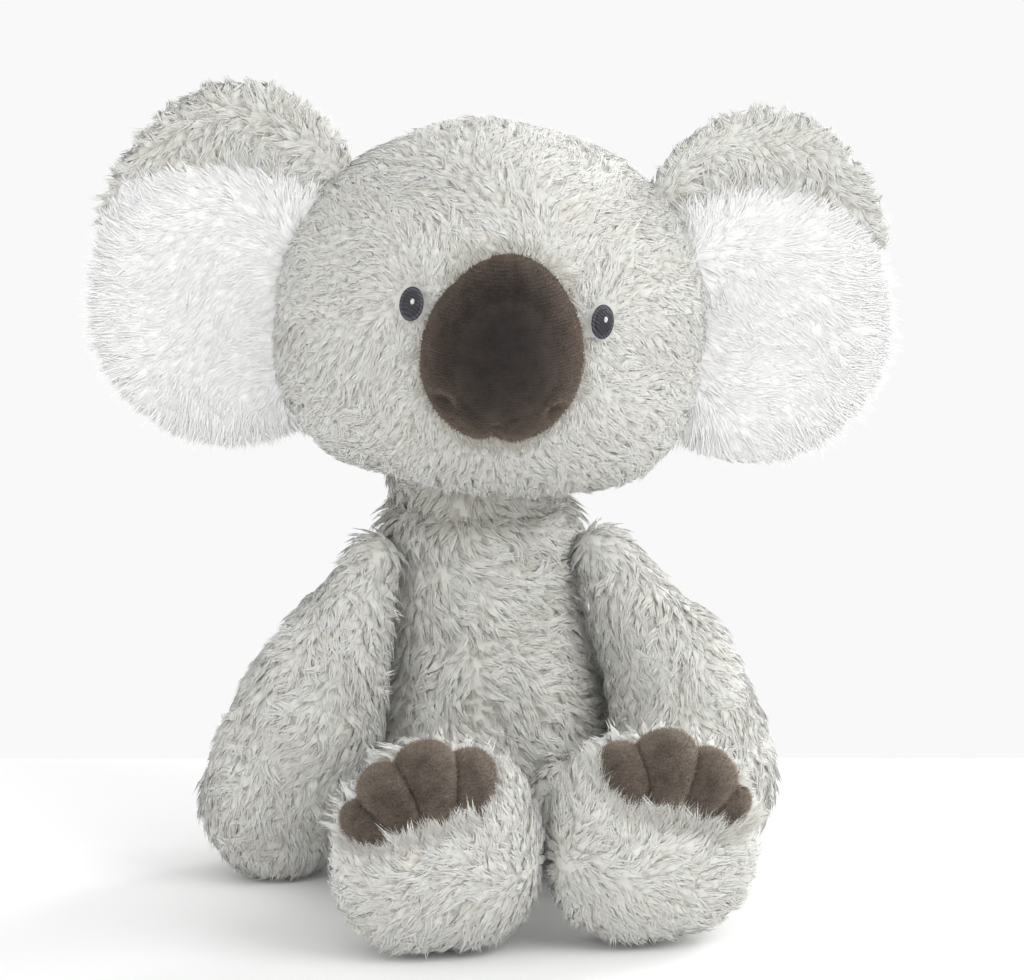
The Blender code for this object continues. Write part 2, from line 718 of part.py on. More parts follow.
def build_foot(side_name, rig, cloths):
    """The foot's fur upper, its fur sole, a row of brown plush toes set into it, and the stuffing."""
    side = SIDES[side_name]
    carrier = rig[f"foot_{side_name}"]
    front = foot_centre(side).y - FOOT_HALF_DEPTH + SOLE_DEPTH
    reach = Vector((OVERRUN, 0, 2 * OVERRUN))
    centre = Vector((side * FOOT_SPREAD, 0, 0))
    sole_side = cutter(
        f"foot_{side_name}_sole_side",
        box(centre - reach + Vector((0, front - OVERRUN, 0)), centre + reach + Vector((0, front, 0))),
        carrier,
    )
    upper_side = cutter(
        f"foot_{side_name}_upper_side",
        box(
            centre - reach + Vector((0, front - CLEARANCE, 0)),
            centre + reach + Vector((0, front + 2 * OVERRUN, 0)),
        ),
        carrier,
    )
    hollow = cutter(f"foot_{side_name}_hollow", foot_form(side, FUR_THICKNESS, 14, 9), carrier)
    seat = cutter(
        f"ankle_{side_name}_seat",
        round_ball(ankle_place(side), ANKLE_RADIUS + SEAT_CLEARANCE, 18, 10),
        carrier,
    )
    slot = cutter(f"toe_{side_name}_slot", toe_slot(side), carrier)

    def toe_row(maker, name, grow, *cloth):
        """All the toes as one piece, or as one cutter that leaves their beds."""
        first, *others = (toe_form(side, place, grow, 10, 7) for place in TOE_PLACES)
        row = maker(name, first, carrier, *cloth)
        more = [cutter(f"{name}_{at}", shape, carrier) for at, shape in enumerate(others, 1)]
        combine(row, more, "UNION")
        return row

    bed = toe_row(cutter, f"toe_{side_name}_bed", CLEARANCE)
    fur = piece(f"foot_{side_name}_fur", foot_form(side, 0, 22, 14), carrier, cloths["fur"])
    combine(fur, [hollow, sole_side, seat, bed, slot, rig["floor"]])
    sole = piece(f"foot_{side_name}_sole", foot_form(side, 0, 22, 14), carrier, cloths["fur"])
    combine(sole, [hollow, upper_side, bed, slot, rig["floor"]])
    packed = foot_form(side, FUR_THICKNESS + CLEARANCE, 14, 9)
    filling = piece(f"foot_{side_name}_stuffing", packed, carrier, cloths["stuffing"])
    combine(filling, [seat, bed])
    toe_row(piece, f"foot_{side_name}_toes", 0, cloths["toes"])


def build_rig():
    """The empties on the joints' axes, each carried by the body before it."""
    rig = {"body": pivot("body_base", Vector())}
    rig["neck_place"] = Vector((0, NECK_BACK, NECK_HEIGHT))
    rig["neck"] = pivot("neck_turn", rig["neck_place"], rig["body"])
    rig["head"] = pivot("neck_nod", rig["neck_place"], rig["neck"])
    for side_name, side in SIDES.items():
        hinge = head_place() @ ear_droop(side_name) @ ear_hinge(side_name)[0]
        rig[f"ear_{side_name}"] = pivot(f"ear_{side_name}_flop", hinge, rig["head"])
        rig[f"arm_{side_name}"] = pivot(f"arm_{side_name}_swing", shoulder_place(side), rig["body"])
        rig[f"leg_{side_name}"] = pivot(f"leg_{side_name}_swing", hip_place(side), rig["body"])
        rig[f"foot_{side_name}"] = pivot(f"foot_{side_name}_flex", ankle_place(side), rig[f"leg_{side_name}"])
    reach = Vector((4 * OVERRUN, 4 * OVERRUN, 0))
    rig["floor"] = cutter("floor_side", box(-reach - Vector((0, 0, OVERRUN)), reach), rig["body"])
    return rig


def build_cloths():
    return {
        "fur": finish("light_grey_fur", "D5D6D0", 0.95),
        "lining": finish("white_ear_fur", "F2F2F0", 0.95),
        "nose": finish("dark_brown_plush", "40372F", 0.8),
        "toes": finish("taupe_plush", "6A5E55", 0.85),
        "ring": finish("grey_purple_thread", "6C6878", 0.5),
        "pupil": finish("charcoal_thread", "2E2D35", 0.45),
        "glint": finish("white_thread", "F6F6F6", 0.5),
        "stuffing": finish("polyester_fibre", "F4F3EF", 1.0),
        "calico": finish("calico_bag", "E4DCCB", 0.9),
    }


def build_koala():
    clear_scene()
    cloths = build_cloths()
    rig = build_rig()
    build_body(rig, cloths)
    build_head(rig, cloths)
    for side_name in SIDES:
        build_eye(side_name, rig, cloths)
        build_ear(side_name, rig, cloths)
        build_arm(side_name, rig, cloths)
        build_leg(side_name, rig, cloths)
        build_foot(side_name, rig, cloths)


build_koala()
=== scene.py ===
"""A seated plush koala in a plain pale studio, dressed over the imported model's frame.

Metres, +Z up, the floor at z = 0, and the toy looks along -Y. Left and right are the viewer's.
"""

import math

import bpy
import numpy as np
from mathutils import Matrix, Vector


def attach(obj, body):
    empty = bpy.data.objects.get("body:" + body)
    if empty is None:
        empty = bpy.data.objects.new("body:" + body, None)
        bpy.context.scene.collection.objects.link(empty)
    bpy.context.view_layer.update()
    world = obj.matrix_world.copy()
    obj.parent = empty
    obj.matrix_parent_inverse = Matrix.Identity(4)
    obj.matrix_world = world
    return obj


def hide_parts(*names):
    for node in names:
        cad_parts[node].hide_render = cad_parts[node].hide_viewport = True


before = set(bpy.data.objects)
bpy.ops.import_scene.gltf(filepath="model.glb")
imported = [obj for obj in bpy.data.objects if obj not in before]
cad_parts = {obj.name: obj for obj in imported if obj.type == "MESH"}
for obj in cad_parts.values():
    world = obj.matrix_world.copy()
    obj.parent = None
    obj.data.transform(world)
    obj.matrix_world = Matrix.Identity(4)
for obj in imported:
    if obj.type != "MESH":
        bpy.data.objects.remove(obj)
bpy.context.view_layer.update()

# Studio: a pale paper floor that ends behind the toy, and a camera on a long lens a little above
# and to the left of it. The backdrop is the world itself.

mm = 0.001
CAMERA_AZIMUTH, CAMERA_TILT = math.radians(-10), math.radians(14)
CAMERA_DISTANCE = 3.5
# The lens and the film behind it, in the camera's own millimetres
LENS_LENGTH, FILM_WIDTH = 369, 36
# The middle of the picture, to the right of the seat's middle and above it
AIM_RIGHT, AIM_UP = 10.6 * mm, 119.1 * mm
# The floor reaches this far behind the seat, where its edge lies level in the picture, ahead and aside
FLOOR_BEHIND, FLOOR_AHEAD, FLOOR_ASIDE = 111 * mm, 4, 3
LAMP_AIM = Vector((0, 0, 0.12))


def linear(colour):
    """An sRGB colour, given as RRGGBB, as linear red, green, blue and 1."""
    channels = [int(colour[at : at + 2], 16) / 255 for at in (0, 2, 4)]
    return (*(c / 12.92 if c <= 0.04045 else ((c + 0.055) / 1.055) ** 2.4 for c in channels), 1)


def add(tree, kind, settings=None, links=None):
    """A shader node with its settings, and links from sockets or from nodes' first outputs.

    Names with a capital, and numbers, are sockets.
    """
    node = tree.nodes.new("ShaderNode" + kind)
    for name, value in (settings or {}).items():
        if isinstance(name, int) or name[0].isupper():
            node.inputs[name].default_value = value
        else:
            setattr(node, name, value)
    for name, source in (links or {}).items():
        if isinstance(source, bpy.types.Node):
            source = source.outputs[0]
        tree.links.new(source, node.inputs[name])
    return node


def material(name):
    """An empty node material and its tree."""
    made = bpy.data.materials.new(name)
    made.use_nodes = True
    made.node_tree.nodes.clear()
    return made, made.node_tree


camera_data = bpy.data.cameras.new("studio_camera")
camera_data.lens = LENS_LENGTH
camera_data.sensor_width = FILM_WIDTH
camera = bpy.data.objects.new("studio_camera", camera_data)
bpy.context.scene.collection.objects.link(camera)
right = np.array([math.cos(CAMERA_AZIMUTH), math.sin(CAMERA_AZIMUTH), 0])
back = np.array([-math.sin(CAMERA_AZIMUTH), math.cos(CAMERA_AZIMUTH), 0])
up = back * math.sin(CAMERA_TILT) + np.array([0, 0, math.cos(CAMERA_TILT)])
ahead = Vector(np.cross(up, right))
aim = Vector(right * AIM_RIGHT + up * AIM_UP)
camera.location = aim - ahead * CAMERA_DISTANCE
camera.rotation_euler = ahead.to_track_quat("-Z", "Y").to_euler()
bpy.context.scene.camera = camera
bpy.context.scene.view_settings.view_transform = "Standard"

floor_mesh = bpy.data.meshes.new("paper_floor")
edges = [(FLOOR_BEHIND, -1), (-FLOOR_AHEAD, -1), (-FLOOR_AHEAD, 1), (FLOOR_BEHIND, 1)]
corners = [back * far + right * FLOOR_ASIDE * side for far, side in edges]
floor_mesh.from_pydata([tuple(corner) for corner in corners], [], [(0, 1, 2, 3)])
floor = bpy.data.objects.new("paper_floor", floor_mesh)
bpy.context.scene.collection.objects.link(floor)
# Matt paper: almost white, with no gloss
paper, tree = material("matt_paper")
finish = {"Base Color": linear("F3F3F3"), "Roughness": 0.95, "Specular IOR Level": 0.1}
shade = add(tree, "BsdfPrincipled", finish)
add(tree, "OutputMaterial", {}, {"Surface": shade})
floor_mesh.materials.append(paper)

world = bpy.data.worlds.new("studio")
bpy.context.scene.world = world
world.use_nodes = True
tree = world.node_tree
tree.nodes.clear()
# The camera, a reflection and a view through something see the backdrop, and all else sees the light
path = add(tree, "LightPath").outputs
seen = add(tree, "Math", {"operation": "MAXIMUM"}, {0: path["Is Camera Ray"], 1: path["Is Glossy Ray"]})
seen = add(tree, "Math", {"operation": "MAXIMUM"}, {0: seen, 1: path["Is Transmission Ray"]})
light = add(tree, "Background", {"Color": linear("FFFFFF"), "Strength": 0.85})
backdrop = add(tree, "Background", {"Color": linear("F9F9F9"), "Strength": 1.0})
mixed = add(tree, "MixShader", {}, {0: seen, 1: light, 2: backdrop})
add(tree, "OutputWorld", {}, {"Surface": mixed})

# A wide soft box above and to the right of the camera, a weaker one on the left, and one behind on the right
for name, place, size, power in (
    ("key_soft_box", (1.1, -1.15, 1.35), 1.1, 15.0),
    ("fill_soft_box", (-1.3, -1.1, 0.7), 0.9, 5.0),
    ("rim_soft_box", (1.4, 0.65, 0.8), 0.8, 18.0),
):
    lamp_data = bpy.data.lights.new(name, "AREA")
    lamp_data.size = size
    lamp_data.energy = power
    lamp = bpy.data.objects.new(name, lamp_data)
    lamp.location = place
    lamp.rotation_euler = (LAMP_AIM - lamp.location).to_track_quat("-Z", "Y").to_euler()
    bpy.context.scene.collection.objects.link(lamp)

# Body: a pear of knitted polyester fur, sewn from panels and stuffed firm, with pellets in the
# seat. Its pile lies downwards in wavy locks. The arms, legs and neck are sewn to it.

BODY_HALF_WIDTH = 43 * mm
BODY_HALF_DEPTH = 39 * mm
BODY_HEIGHT = 122 * mm
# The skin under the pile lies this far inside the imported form, whose surface stands for the pile too
SKIN_DEPTH = 2 * mm
# How wide the body's lumps of stuffing are and how high, and where above the floor they begin
LUMP_WIDTH, LUMP_HEIGHT, LUMPS_FROM = 45 * mm, 0.7 * mm, (4 * mm, 20 * mm)
# Hairs are short where the toy rests on the floor and grow to their full length over this height
PRESSED_BAND = (1 * mm, 9 * mm)
# The heights between which the fur goes into the head's shade
CHIN_SHADE = (109 * mm, 120 * mm)
PARTING_WIDTH = 20 * mm
# A tuft's core starts this far below the skin, and this is half the thickness of a hair on it
ROOT_DEPTH, HAIR_RADIUS = 0.8 * mm, 0.19 * mm
# Pile lower than this above the floor is pressed flat on it
FLOOR_GAP = 0.3 * mm


def unit(vectors):
    """Vectors at a length of one."""
    return vectors / np.maximum(np.linalg.norm(vectors, axis=-1, keepdims=True), 1e-12)


def waves(points, size, seed):
    """A smooth random height from about -1 to 1: eight sine waves, size metres long, in random directions."""
    rng = np.random.default_rng(seed)
    steps = unit(rng.normal(size=(8, 3))) * (math.tau / size) * rng.uniform(0.7, 1.5, (8, 1))
    return np.sin(points @ steps.T + rng.uniform(0, math.tau, 8)).sum(axis=-1) / 2.6


def smooth_step(values, low, high):
    """0 below low, 1 above high, and an even S between them."""
    share = np.clip((values - low) / (high - low), 0, 1)
    return share * share * (3 - 2 * share)


def wavy(flow, points, normals, *bends):
    """A flow turned aside in waves. Each bend is a wave's length, how far it turns the flow, and its seed."""
    aside = sum(share * waves(points, size, seed)[:, None] for size, share, seed in bends)
    return flow + np.cross(normals, flow) * aside


def curve(table, at):
    """Rows of a table joined by a smooth curve, Catmull and Rom's, read at shares of its length."""
    rows = np.array(table, float)
    rows = np.vstack([2 * rows[0] - rows[1], rows, 2 * rows[-1] - rows[-2]])
    along = np.clip(at, 0, 1) * (len(rows) - 3)
    first = np.minimum(along.astype(int), len(rows) - 4)
    t = (along - first)[..., None]
    a, b, c, d = (rows[first + step] for step in range(4))
    bend = (2 * a - 5 * b + 4 * c - d) * t * t + (3 * b - a - 3 * c + d) * t**3
    return b + ((c - a) * t + bend) / 2


def frame_on(surface, u, v):
    """Points of a surface and its outward normals, from small steps along both parameters."""
    step = 1e-3
    v = np.clip(v, 2e-3, 1 - 2e-3)
    points = surface(u, v)
    along_u = surface(u + step, v) - surface(u - step, v)
    along_v = surface(u, v + step) - surface(u, v - step)
    normals = unit(np.cross(along_u, along_v))
    outwards = np.sum(normals * (points - points.mean(axis=0)))
    return points, normals * np.sign(outwards)


def skin(surface, across, down):
    """A closed net over a surface of u, round it, and v, from pole to pole: points and faces, facing out."""
    u, v = np.meshgrid(np.arange(across) / across, np.arange(1, down) / down)
    points = surface(u.ravel(), v.ravel())
    poles = surface(np.zeros(2), np.array([0.0, 1.0]))
    points = np.vstack([points, poles])
    at = np.arange(across)
    after = (at + 1) % across
    rows = np.arange(down - 2)[:, None] * across
    quads = np.stack([rows + at, rows + after, rows + across + after, rows + across + at], axis=-1)
    quads = quads.reshape(-1, 4)
    first = np.stack([np.full(across, len(points) - 2), after, at], axis=-1)
    last_row = (down - 2) * across
    last = np.stack([np.full(across, len(points) - 1), last_row + at, last_row + after], axis=-1)
    corners = points[quads]
    out = np.cross(corners[:, 2] - corners[:, 0], corners[:, 3] - corners[:, 1])
    if np.sum(out * (corners.mean(axis=1) - points.mean(axis=0))) < 0:
        quads, first, last = quads[:, ::-1], first[:, ::-1], last[:, ::-1]
    return points, quads, np.vstack([first, last])


def scattered(surface, count, rng, density=None):
    """Parameters of points strewn over a surface, as evenly as jitter lets them, or by density(points).

    The surface is cut into rows as high as the points are apart, and the points are dealt out along them.
    """

    def weights(across, down):
        u, v = np.meshgrid((np.arange(across) + 0.5) / across, (np.arange(down) + 0.5) / down)
        u, v = u.ravel(), v.ravel()
        along_u = surface(u + 0.4 / across, v) - surface(u - 0.4 / across, v)
        along_v = surface(u, v + 0.4 / down) - surface(u, v - 0.4 / down)
        weight = np.linalg.norm(np.cross(along_u, along_v), axis=-1) / 0.64
        long = np.linalg.norm(along_v, axis=-1).reshape(down, across).sum(axis=0) / 0.8
        return (weight * density(surface(u, v)) if density else weight), long.mean()

    weight, height = weights(120, 80)
    down = max(int(round(height / math.sqrt(weight.sum() / count))), 6)
    across = 240
    weight, _ = weights(across, down)
    edges = np.concatenate([[0], np.cumsum(weight)])
    marks = (np.arange(count) + rng.uniform(0.15, 0.85, count)) / count * edges[-1]
    cells = np.clip(np.searchsorted(edges, marks, side="right") - 1, 0, len(weight) - 1)
    inside = (marks - edges[cells]) / np.maximum(weight[cells], 1e-15)
    u = (cells % across + inside) / across
    v = (cells // across + 0.5 + rng.uniform(-0.38, 0.38, count)) / down
    return u, np.clip(v, 0.003, 0.997)


def pile(
    surface, tufts, lay, seed, length=9.5 * mm, width=4.2 * mm, lift=0.17, wave=0.12, hairs=13, stray=0.26,
    roundness=0.28, density=None, trim=None, deep=None,
):
    """Tufts of hair that stand on a surface: points, faces, shades and the normals that shade the pile.

    A tuft's core is a flat closed spike on a curved course: it leaves the skin at a slope and then lies
    along lay(points, normals). Fine straight hairs, each a thin three-sided spike, cover the core, draw
    together along its course and end past its tip. stray turns tufts off the lay, in radians. trim(points)
    shortens tufts, and deep(points), from 0 to 1, is painted shade: it gives tufts in a crease the darker
    tone of the roots. The more roundness, the more the light shows each tuft's sides.
    """
    rng = np.random.default_rng(seed)
    u, v = scattered(surface, tufts, rng, density)
    roots, normals = frame_on(surface, u, v)
    ahead = lay(roots, normals)
    ahead = unit(ahead - normals * np.sum(ahead * normals, axis=-1, keepdims=True))
    side = np.cross(normals, ahead)
    turn = rng.normal(0, stray, (tufts, 1))
    ahead, side = ahead * np.cos(turn) + side * np.sin(turn), side * np.cos(turn) - ahead * np.sin(turn)
    size = length * rng.uniform(0.8, 1.2, (tufts, 1))
    if trim:
        size = size * trim(roots)[:, None]
    rise = lift * rng.uniform(0.6, 1.4, (tufts, 1))
    bend, curl = rng.normal(0, wave, (2, tufts, 1))
    start = (roots - normals * ROOT_DEPTH)[:, None]
    middle = (roots + size * (ahead * 0.38 + normals * rise * 1.35 + side * bend * 0.5))[:, None]
    end = (roots + size * (ahead * 0.95 + normals * rise + side * (bend * 0.3 + curl)))[:, None]
    half_width = width / 2 * rng.uniform(0.75, 1.25, (tufts, 1)) * np.minimum(size / length, 1) ** 0.5

    def course(share):
        """The tuft's middle line at a share of its length, and the ways ahead, across and up there."""
        share = share[..., None]
        place = start * (1 - share) ** 2 + middle * 2 * share * (1 - share) + end * share**2
        along = unit((middle - start) * (1 - share) + (end - middle) * share)
        across = unit(np.cross(normals[:, None] + along * 0.01, along))
        return place, along, across, np.cross(along, across)

    # The core ends at four fifths of the course, so that its tip is under the hairs
    shares = np.tile([0.0, 0.4, 0.8], (tufts, 1))
    place, along, across, upward = course(shares)
    turns = math.tau * (np.arange(4) + 0.5) / 4
    wide = (half_width * np.array([0.8, 0.75]))[..., None, None]
    ring = across[:, :2, None] * np.cos(turns)[:, None] + upward[:, :2, None] * np.sin(turns)[:, None] * 0.4
    rings = place[:, :2, None] + ring * wide
    points = np.concatenate([rings.reshape(tufts, 8, 3), place[:, 2:]], axis=1)
    around = np.arange(4)
    after = (around + 1) % 4
    quads = np.concatenate([np.stack([around, after, after + 4, around + 4], axis=-1), [[3, 2, 1, 0]]])
    tris = np.stack([around + 4, after + 4, np.full(4, 8)], axis=-1)
    shades = np.empty((tufts, 9, 4))
    # Light shines through from behind, so the undersides are as pale as the tips
    shades[..., 0] = [0.25, 0.25, 0.9, 0.9, 0.45, 0.45, 0.9, 0.9, 0.6]
    shades[..., 1] = rng.uniform(0, 1, (tufts, 1))
    shades[..., 2] = 0.4
    shades[..., 3] = [1, 0, 0, 1, 1, 0, 0, 1, 0.5]
    # Painted shade: tufts in a crease take the darker tone of the roots
    painted_shade_factor = 1 - deep(roots)[:, None] if deep else np.ones((tufts, 1))
    shades[..., 0] *= painted_shade_factor

    # The hairs lie on the core's upper face and beside it
    begin = rng.uniform(0.0, 0.7, (tufts, hairs))
    finish = begin + rng.uniform(0.32, 0.5, (tufts, hairs))
    where = rng.uniform(-1, 1, (tufts, hairs, 1))
    height = np.sqrt(np.maximum(1 - where**2, 0)) * rng.uniform(0.1, 0.45, (tufts, hairs, 1))
    place, along, across, upward = course(begin)
    wide = (half_width * (1 - 0.45 * begin))[..., None]
    foot = place + (across * where + upward * height) * wide
    place, along, across, upward = course(finish)
    wide = (half_width * (1 - 0.45 * finish))[..., None]
    astray = rng.normal(0, 0.28, (tufts, hairs, 1)) * mm
    off = rng.uniform(0.0, 0.4, (tufts, hairs, 1)) * mm
    tip = place + across * (where * wide + astray) + upward * (height * wide + off)
    along = unit(tip - foot)
    first = unit(np.cross(normals[:, None] + along * 0.01, along))
    second = np.cross(along, first)
    thick = HAIR_RADIUS * rng.uniform(0.7, 1.3, (tufts, hairs, 1))
    # Each spike's flat side faces out, so that it takes the light as the coat does
    corners = math.radians(30), math.radians(150), math.radians(270)
    feet = [foot + (first * math.cos(turn) + second * math.sin(turn)) * thick for turn in corners]
    spikes = np.stack([*feet, tip], axis=2).reshape(-1, 3)
    spike_shades = np.empty((tufts, hairs, 4, 4))
    spike_shades[..., :3, 0] = (begin * painted_shade_factor)[..., None]
    spike_shades[..., 3, 0] = np.minimum(finish, 1) * painted_shade_factor
    spike_shades[..., 1] = shades[:, :1, 1, None]
    spike_shades[..., 2] = rng.uniform(0, 1, (tufts, hairs, 1))
    spike_shades[..., 3] = 0.5
    # The normals that shade the pile: mostly the coat's own above, rounded a little over each core and
    # hair, and their own underneath, where the pile is seen from behind at the toy's outline
    coat = normals[:, None, None]
    aside, above = across[:, :1, None], upward[:, :1, None]
    tilt = aside * roundness
    under = aside * 0.7
    soft = np.concatenate([coat + tilt, coat - tilt, -above - under, -above + under], axis=2)
    tip_soft = coat + ahead[:, None, None] * 0.6
    soft = np.concatenate([soft, soft, tip_soft], axis=2).reshape(tufts, 9, 3)
    tilt = across[:, :, None] * roundness
    tilted = coat + tilt * where[:, :, None]
    beneath = coat * 0.2 - upward[:, :, None]
    tip_soft = tilted + ahead[:, None, None] * 0.4
    spike_soft = np.concatenate([tilted + tilt * 1.4, tilted - tilt * 1.4, beneath, tip_soft], axis=2)
    softness = unit(np.concatenate([soft.reshape(-1, 3), spike_soft.reshape(-1, 3)]))
    firsts = (9 * tufts + 4 * np.arange(tufts * hairs))[:, None, None]
    spike_tris = (firsts + np.array([[0, 1, 3], [1, 2, 3], [2, 0, 3], [2, 1, 0]])).reshape(-1, 3)
    starts = (9 * np.arange(tufts))[:, None, None]
    points = np.concatenate([points.reshape(-1, 3), spikes])
    low = points[:, 2] < FLOOR_GAP
    points[low, 2] = FLOOR_GAP - 0.05 * mm + (points[low, 2] - FLOOR_GAP) * 0.02
    return (
        points,
        (starts + quads).reshape(-1, 4),
        np.concatenate([(starts + tris).reshape(-1, 3), spike_tris]),
        np.concatenate([shades.reshape(-1, 4), spike_shades.reshape(-1, 4)]),
        softness,
    )


def sewn(name, parts, finish):
    """One object of several nets of points, quads, triangles and, where it has them, shades and normals."""
    points, starts, corners, shades, soft = [], [], [], [], []
    base, used = 0, 0
    for part in parts:
        net, quads, tris = part[:3]
        points.append(net)
        shades.append(part[3] if len(part) > 3 else np.tile([0.3, 0.5, 0.4, 0.5], (len(net), 1)))
        if len(part) > 4:
            soft.append((base, part[4]))
        for faces, sides in ((quads, 4), (tris, 3)):
            starts.append(used + sides * np.arange(len(faces)))
            corners.append((faces + base).ravel())
            used += faces.size
        base += len(net)
    starts, corners = np.concatenate(starts), np.concatenate(corners)
    mesh = bpy.data.meshes.new(name)
    mesh.vertices.add(base)
    mesh.vertices.foreach_set("co", np.concatenate(points).astype(np.float32).ravel())
    mesh.loops.add(len(corners))
    mesh.loops.foreach_set("vertex_index", corners.astype(np.int32))
    mesh.polygons.add(len(starts))
    mesh.polygons.foreach_set("loop_start", starts.astype(np.int32))
    mesh.update(calc_edges=True)
    mesh.shade_smooth()
    if soft:
        normals = np.empty(base * 3, np.float32)
        mesh.vertex_normals.foreach_get("vector", normals)
        normals = normals.reshape(-1, 3)
        for first, own in soft:
            normals[first : first + len(own)] = own
        mesh.normals_split_custom_set_from_vertices(normals)
    marks = mesh.attributes.new("pile", "FLOAT_COLOR", "POINT")
    marks.data.foreach_set("color", np.concatenate(shades).astype(np.float32).ravel())
    mesh.materials.append(finish)
    obj = bpy.data.objects.new(name, mesh)
    bpy.context.scene.collection.objects.link(obj)
    return obj


def surfaced(tree, settings, colour, height, strength, depth):
    """The end of a material: its shader, with that colour and with relief of a depth in metres."""
    relief = add(tree, "Bump", {"Strength": strength, "Distance": depth}, {"Height": height})
    shader = add(tree, "BsdfPrincipled", settings, {"Base Color": colour, "Normal": relief})
    add(tree, "OutputMaterial", {}, {"Surface": shader})


def fur_material(name, root, middle, tip, warm, warm_share, variety):
    """Polyester pile: matt, darker at the root and paler at the tip, each tuft and hair a shade of its own.

    The pile attribute holds the share of the hair's length, a number for the tuft, one for the hair, and
    the place across the tuft.
    """
    made, tree = material(name)
    mark = add(tree, "Attribute", {"attribute_name": "pile"})
    parts = add(tree, "SeparateColor", {}, {0: mark.outputs["Color"]})
    hair_share, tuft_number, hair_number = parts.outputs[:3]
    place = add(tree, "TexCoord").outputs["Object"]
    # Fine relief about 0.5 mm wide, coarser than real fibres so that it shows, on cores and skin
    fine = add(tree, "TexNoise", {"Scale": 1.8 / mm, "Detail": 2.0}, {"Vector": place})
    # Streaks that run along each tuft's core, about ten across it, as hairs lie side by side
    across = add(tree, "Math", {"operation": "MULTIPLY", 1: 9.0}, {0: mark.outputs["Alpha"]})
    number = add(tree, "Math", {"operation": "MULTIPLY", 1: 50.0}, {0: tuft_number})
    spot = add(tree, "CombineXYZ", {}, {0: across, 1: number})
    streak_settings = {"noise_dimensions": "2D", "Scale": 1.0, "Detail": 2.0}
    streaks = add(tree, "TexNoise", streak_settings, {"Vector": spot})
    mixed = add(tree, "Mix", {"data_type": "FLOAT", 0: 0.65}, {2: fine, 3: streaks})
    shift = add(tree, "MapRange", {1: 0.3, 2: 0.7, 3: -0.3, 4: 0.2}, {0: mixed})
    along = add(tree, "Math", {"operation": "ADD", "use_clamp": True}, {0: hair_share, 1: shift})
    tones = add(tree, "ValToRGB", {}, {0: along})
    tones.color_ramp.elements[0].color = linear(root)
    tones.color_ramp.elements[1].color = linear(tip)
    tones.color_ramp.elements.new(0.36).color = linear(middle)
    # Some tufts are faintly beige, in patches about 12 mm wide
    patch = add(tree, "TexNoise", {"Scale": 0.085 / mm, "Detail": 3.0}, {"Vector": place})
    both = add(tree, "Math", {"operation": "MULTIPLY"}, {0: patch, 1: tuft_number})
    share = add(tree, "MapRange", {1: 0.2, 2: 0.55, 3: 0.0, 4: warm_share}, {0: both})
    tint_settings = {"data_type": "RGBA", "blend_type": "MULTIPLY", 7: linear(warm)}
    tinted = add(tree, "Mix", tint_settings, {"Factor": share, 6: tones})
    value = add(tree, "MapRange", {1: 0.0, 2: 1.0, 3: 1 - variety, 4: 1 + variety}, {0: hair_number})
    toned = add(tree, "HueSaturation", {}, {"Value": value, "Color": tinted.outputs[2]})
    sheen = {"Roughness": 0.8, "Specular IOR Level": 0.15, "Sheen Weight": 0.35, "Sheen Roughness": 0.5}
    surfaced(tree, sheen, toned, mixed, strength=0.5, depth=0.3 * mm)
    return made


# Grey polyester fur, brushed: silvery tips over a duller grey-beige root
grey_fur = fur_material(
    "grey_polyester_fur", root="BFBDB4", middle="DCDCD7", tip="E8E8E5", warm="ECE4D6", warm_share=0.35,
    variety=0.04,
)

# The height and the width at rows from the body's underside to its top, as shares of its own
BODY_OUTLINE = (
    (0.004, 0.0), (0.0, 0.3), (0.0, 0.6), (0.035, 0.79), (0.11, 0.93), (0.22, 0.99), (0.36, 1.0),
    (0.52, 0.95), (0.66, 0.87), (0.8, 0.8), (0.9, 0.76), (0.955, 0.69), (1.0, 0.48), (1.015, 0.25),
    (1.02, 0.0),
)


def body_surface(u, v):
    """The pear's outline turned round in an oval, with slow lumps."""
    rows = curve(BODY_OUTLINE, v)
    turn = math.tau * u
    share = np.maximum(rows[:, 1], 0)
    points = np.stack([
        (BODY_HALF_WIDTH - SKIN_DEPTH) * share * np.cos(turn),
        (BODY_HALF_DEPTH - SKIN_DEPTH) * share * np.sin(turn),
        rows[:, 0] * BODY_HEIGHT,
    ], axis=-1)
    lumps = waves(points, LUMP_WIDTH, seed=1) * LUMP_HEIGHT * smooth_step(points[:, 2], *LUMPS_FROM)
    return points + unit(points * [1, 1, 0]) * lumps[:, None]


def body_lay(points, normals):
    """Down, and on the toy's left half also sideways, with a sweep that waves every 25 mm or so."""
    aside = smooth_step(points[:, :1], -28 * mm, 18 * mm) * smooth_step(-points[:, 1:2], -10 * mm, 20 * mm)
    down = np.array([0, 0, -1.0]) + normals * 0.2 + aside * np.array([1.3, 0, 0.2])
    return wavy(down, points, normals, (30 * mm, 0.6, 2), (13 * mm, 0.5, 3))


def under_the_chin(points):
    """The fur in the crease under the head is in its shade."""
    return 0.7 * smooth_step(points[:, 2], *CHIN_SHADE)


def parted(points):
    """Spots about 8 mm wide where the pile parts and its roots show, mostly on the toy's right half."""
    there = 1 - 0.6 * smooth_step(points[:, 0], -10 * mm, 20 * mm)
    return smooth_step(waves(points, PARTING_WIDTH, seed=4), 0.35, 1.0) * there


def body_shade(points):
    """Painted shade under the chin; where the pile parts, darker from the roots' own tone and from painted
    shade.
    """
    return np.maximum(under_the_chin(points), 0.75 * parted(points))


def body_length(points):
    """Hair is shorter on the floor and where the pile parts."""
    return near_floor(points) * (1 - 0.55 * parted(points))


def near_floor(points):
    """The share of its length that a hair keeps near the floor."""
    return 0.12 + 0.88 * smooth_step(points[:, 2], *PRESSED_BAND)


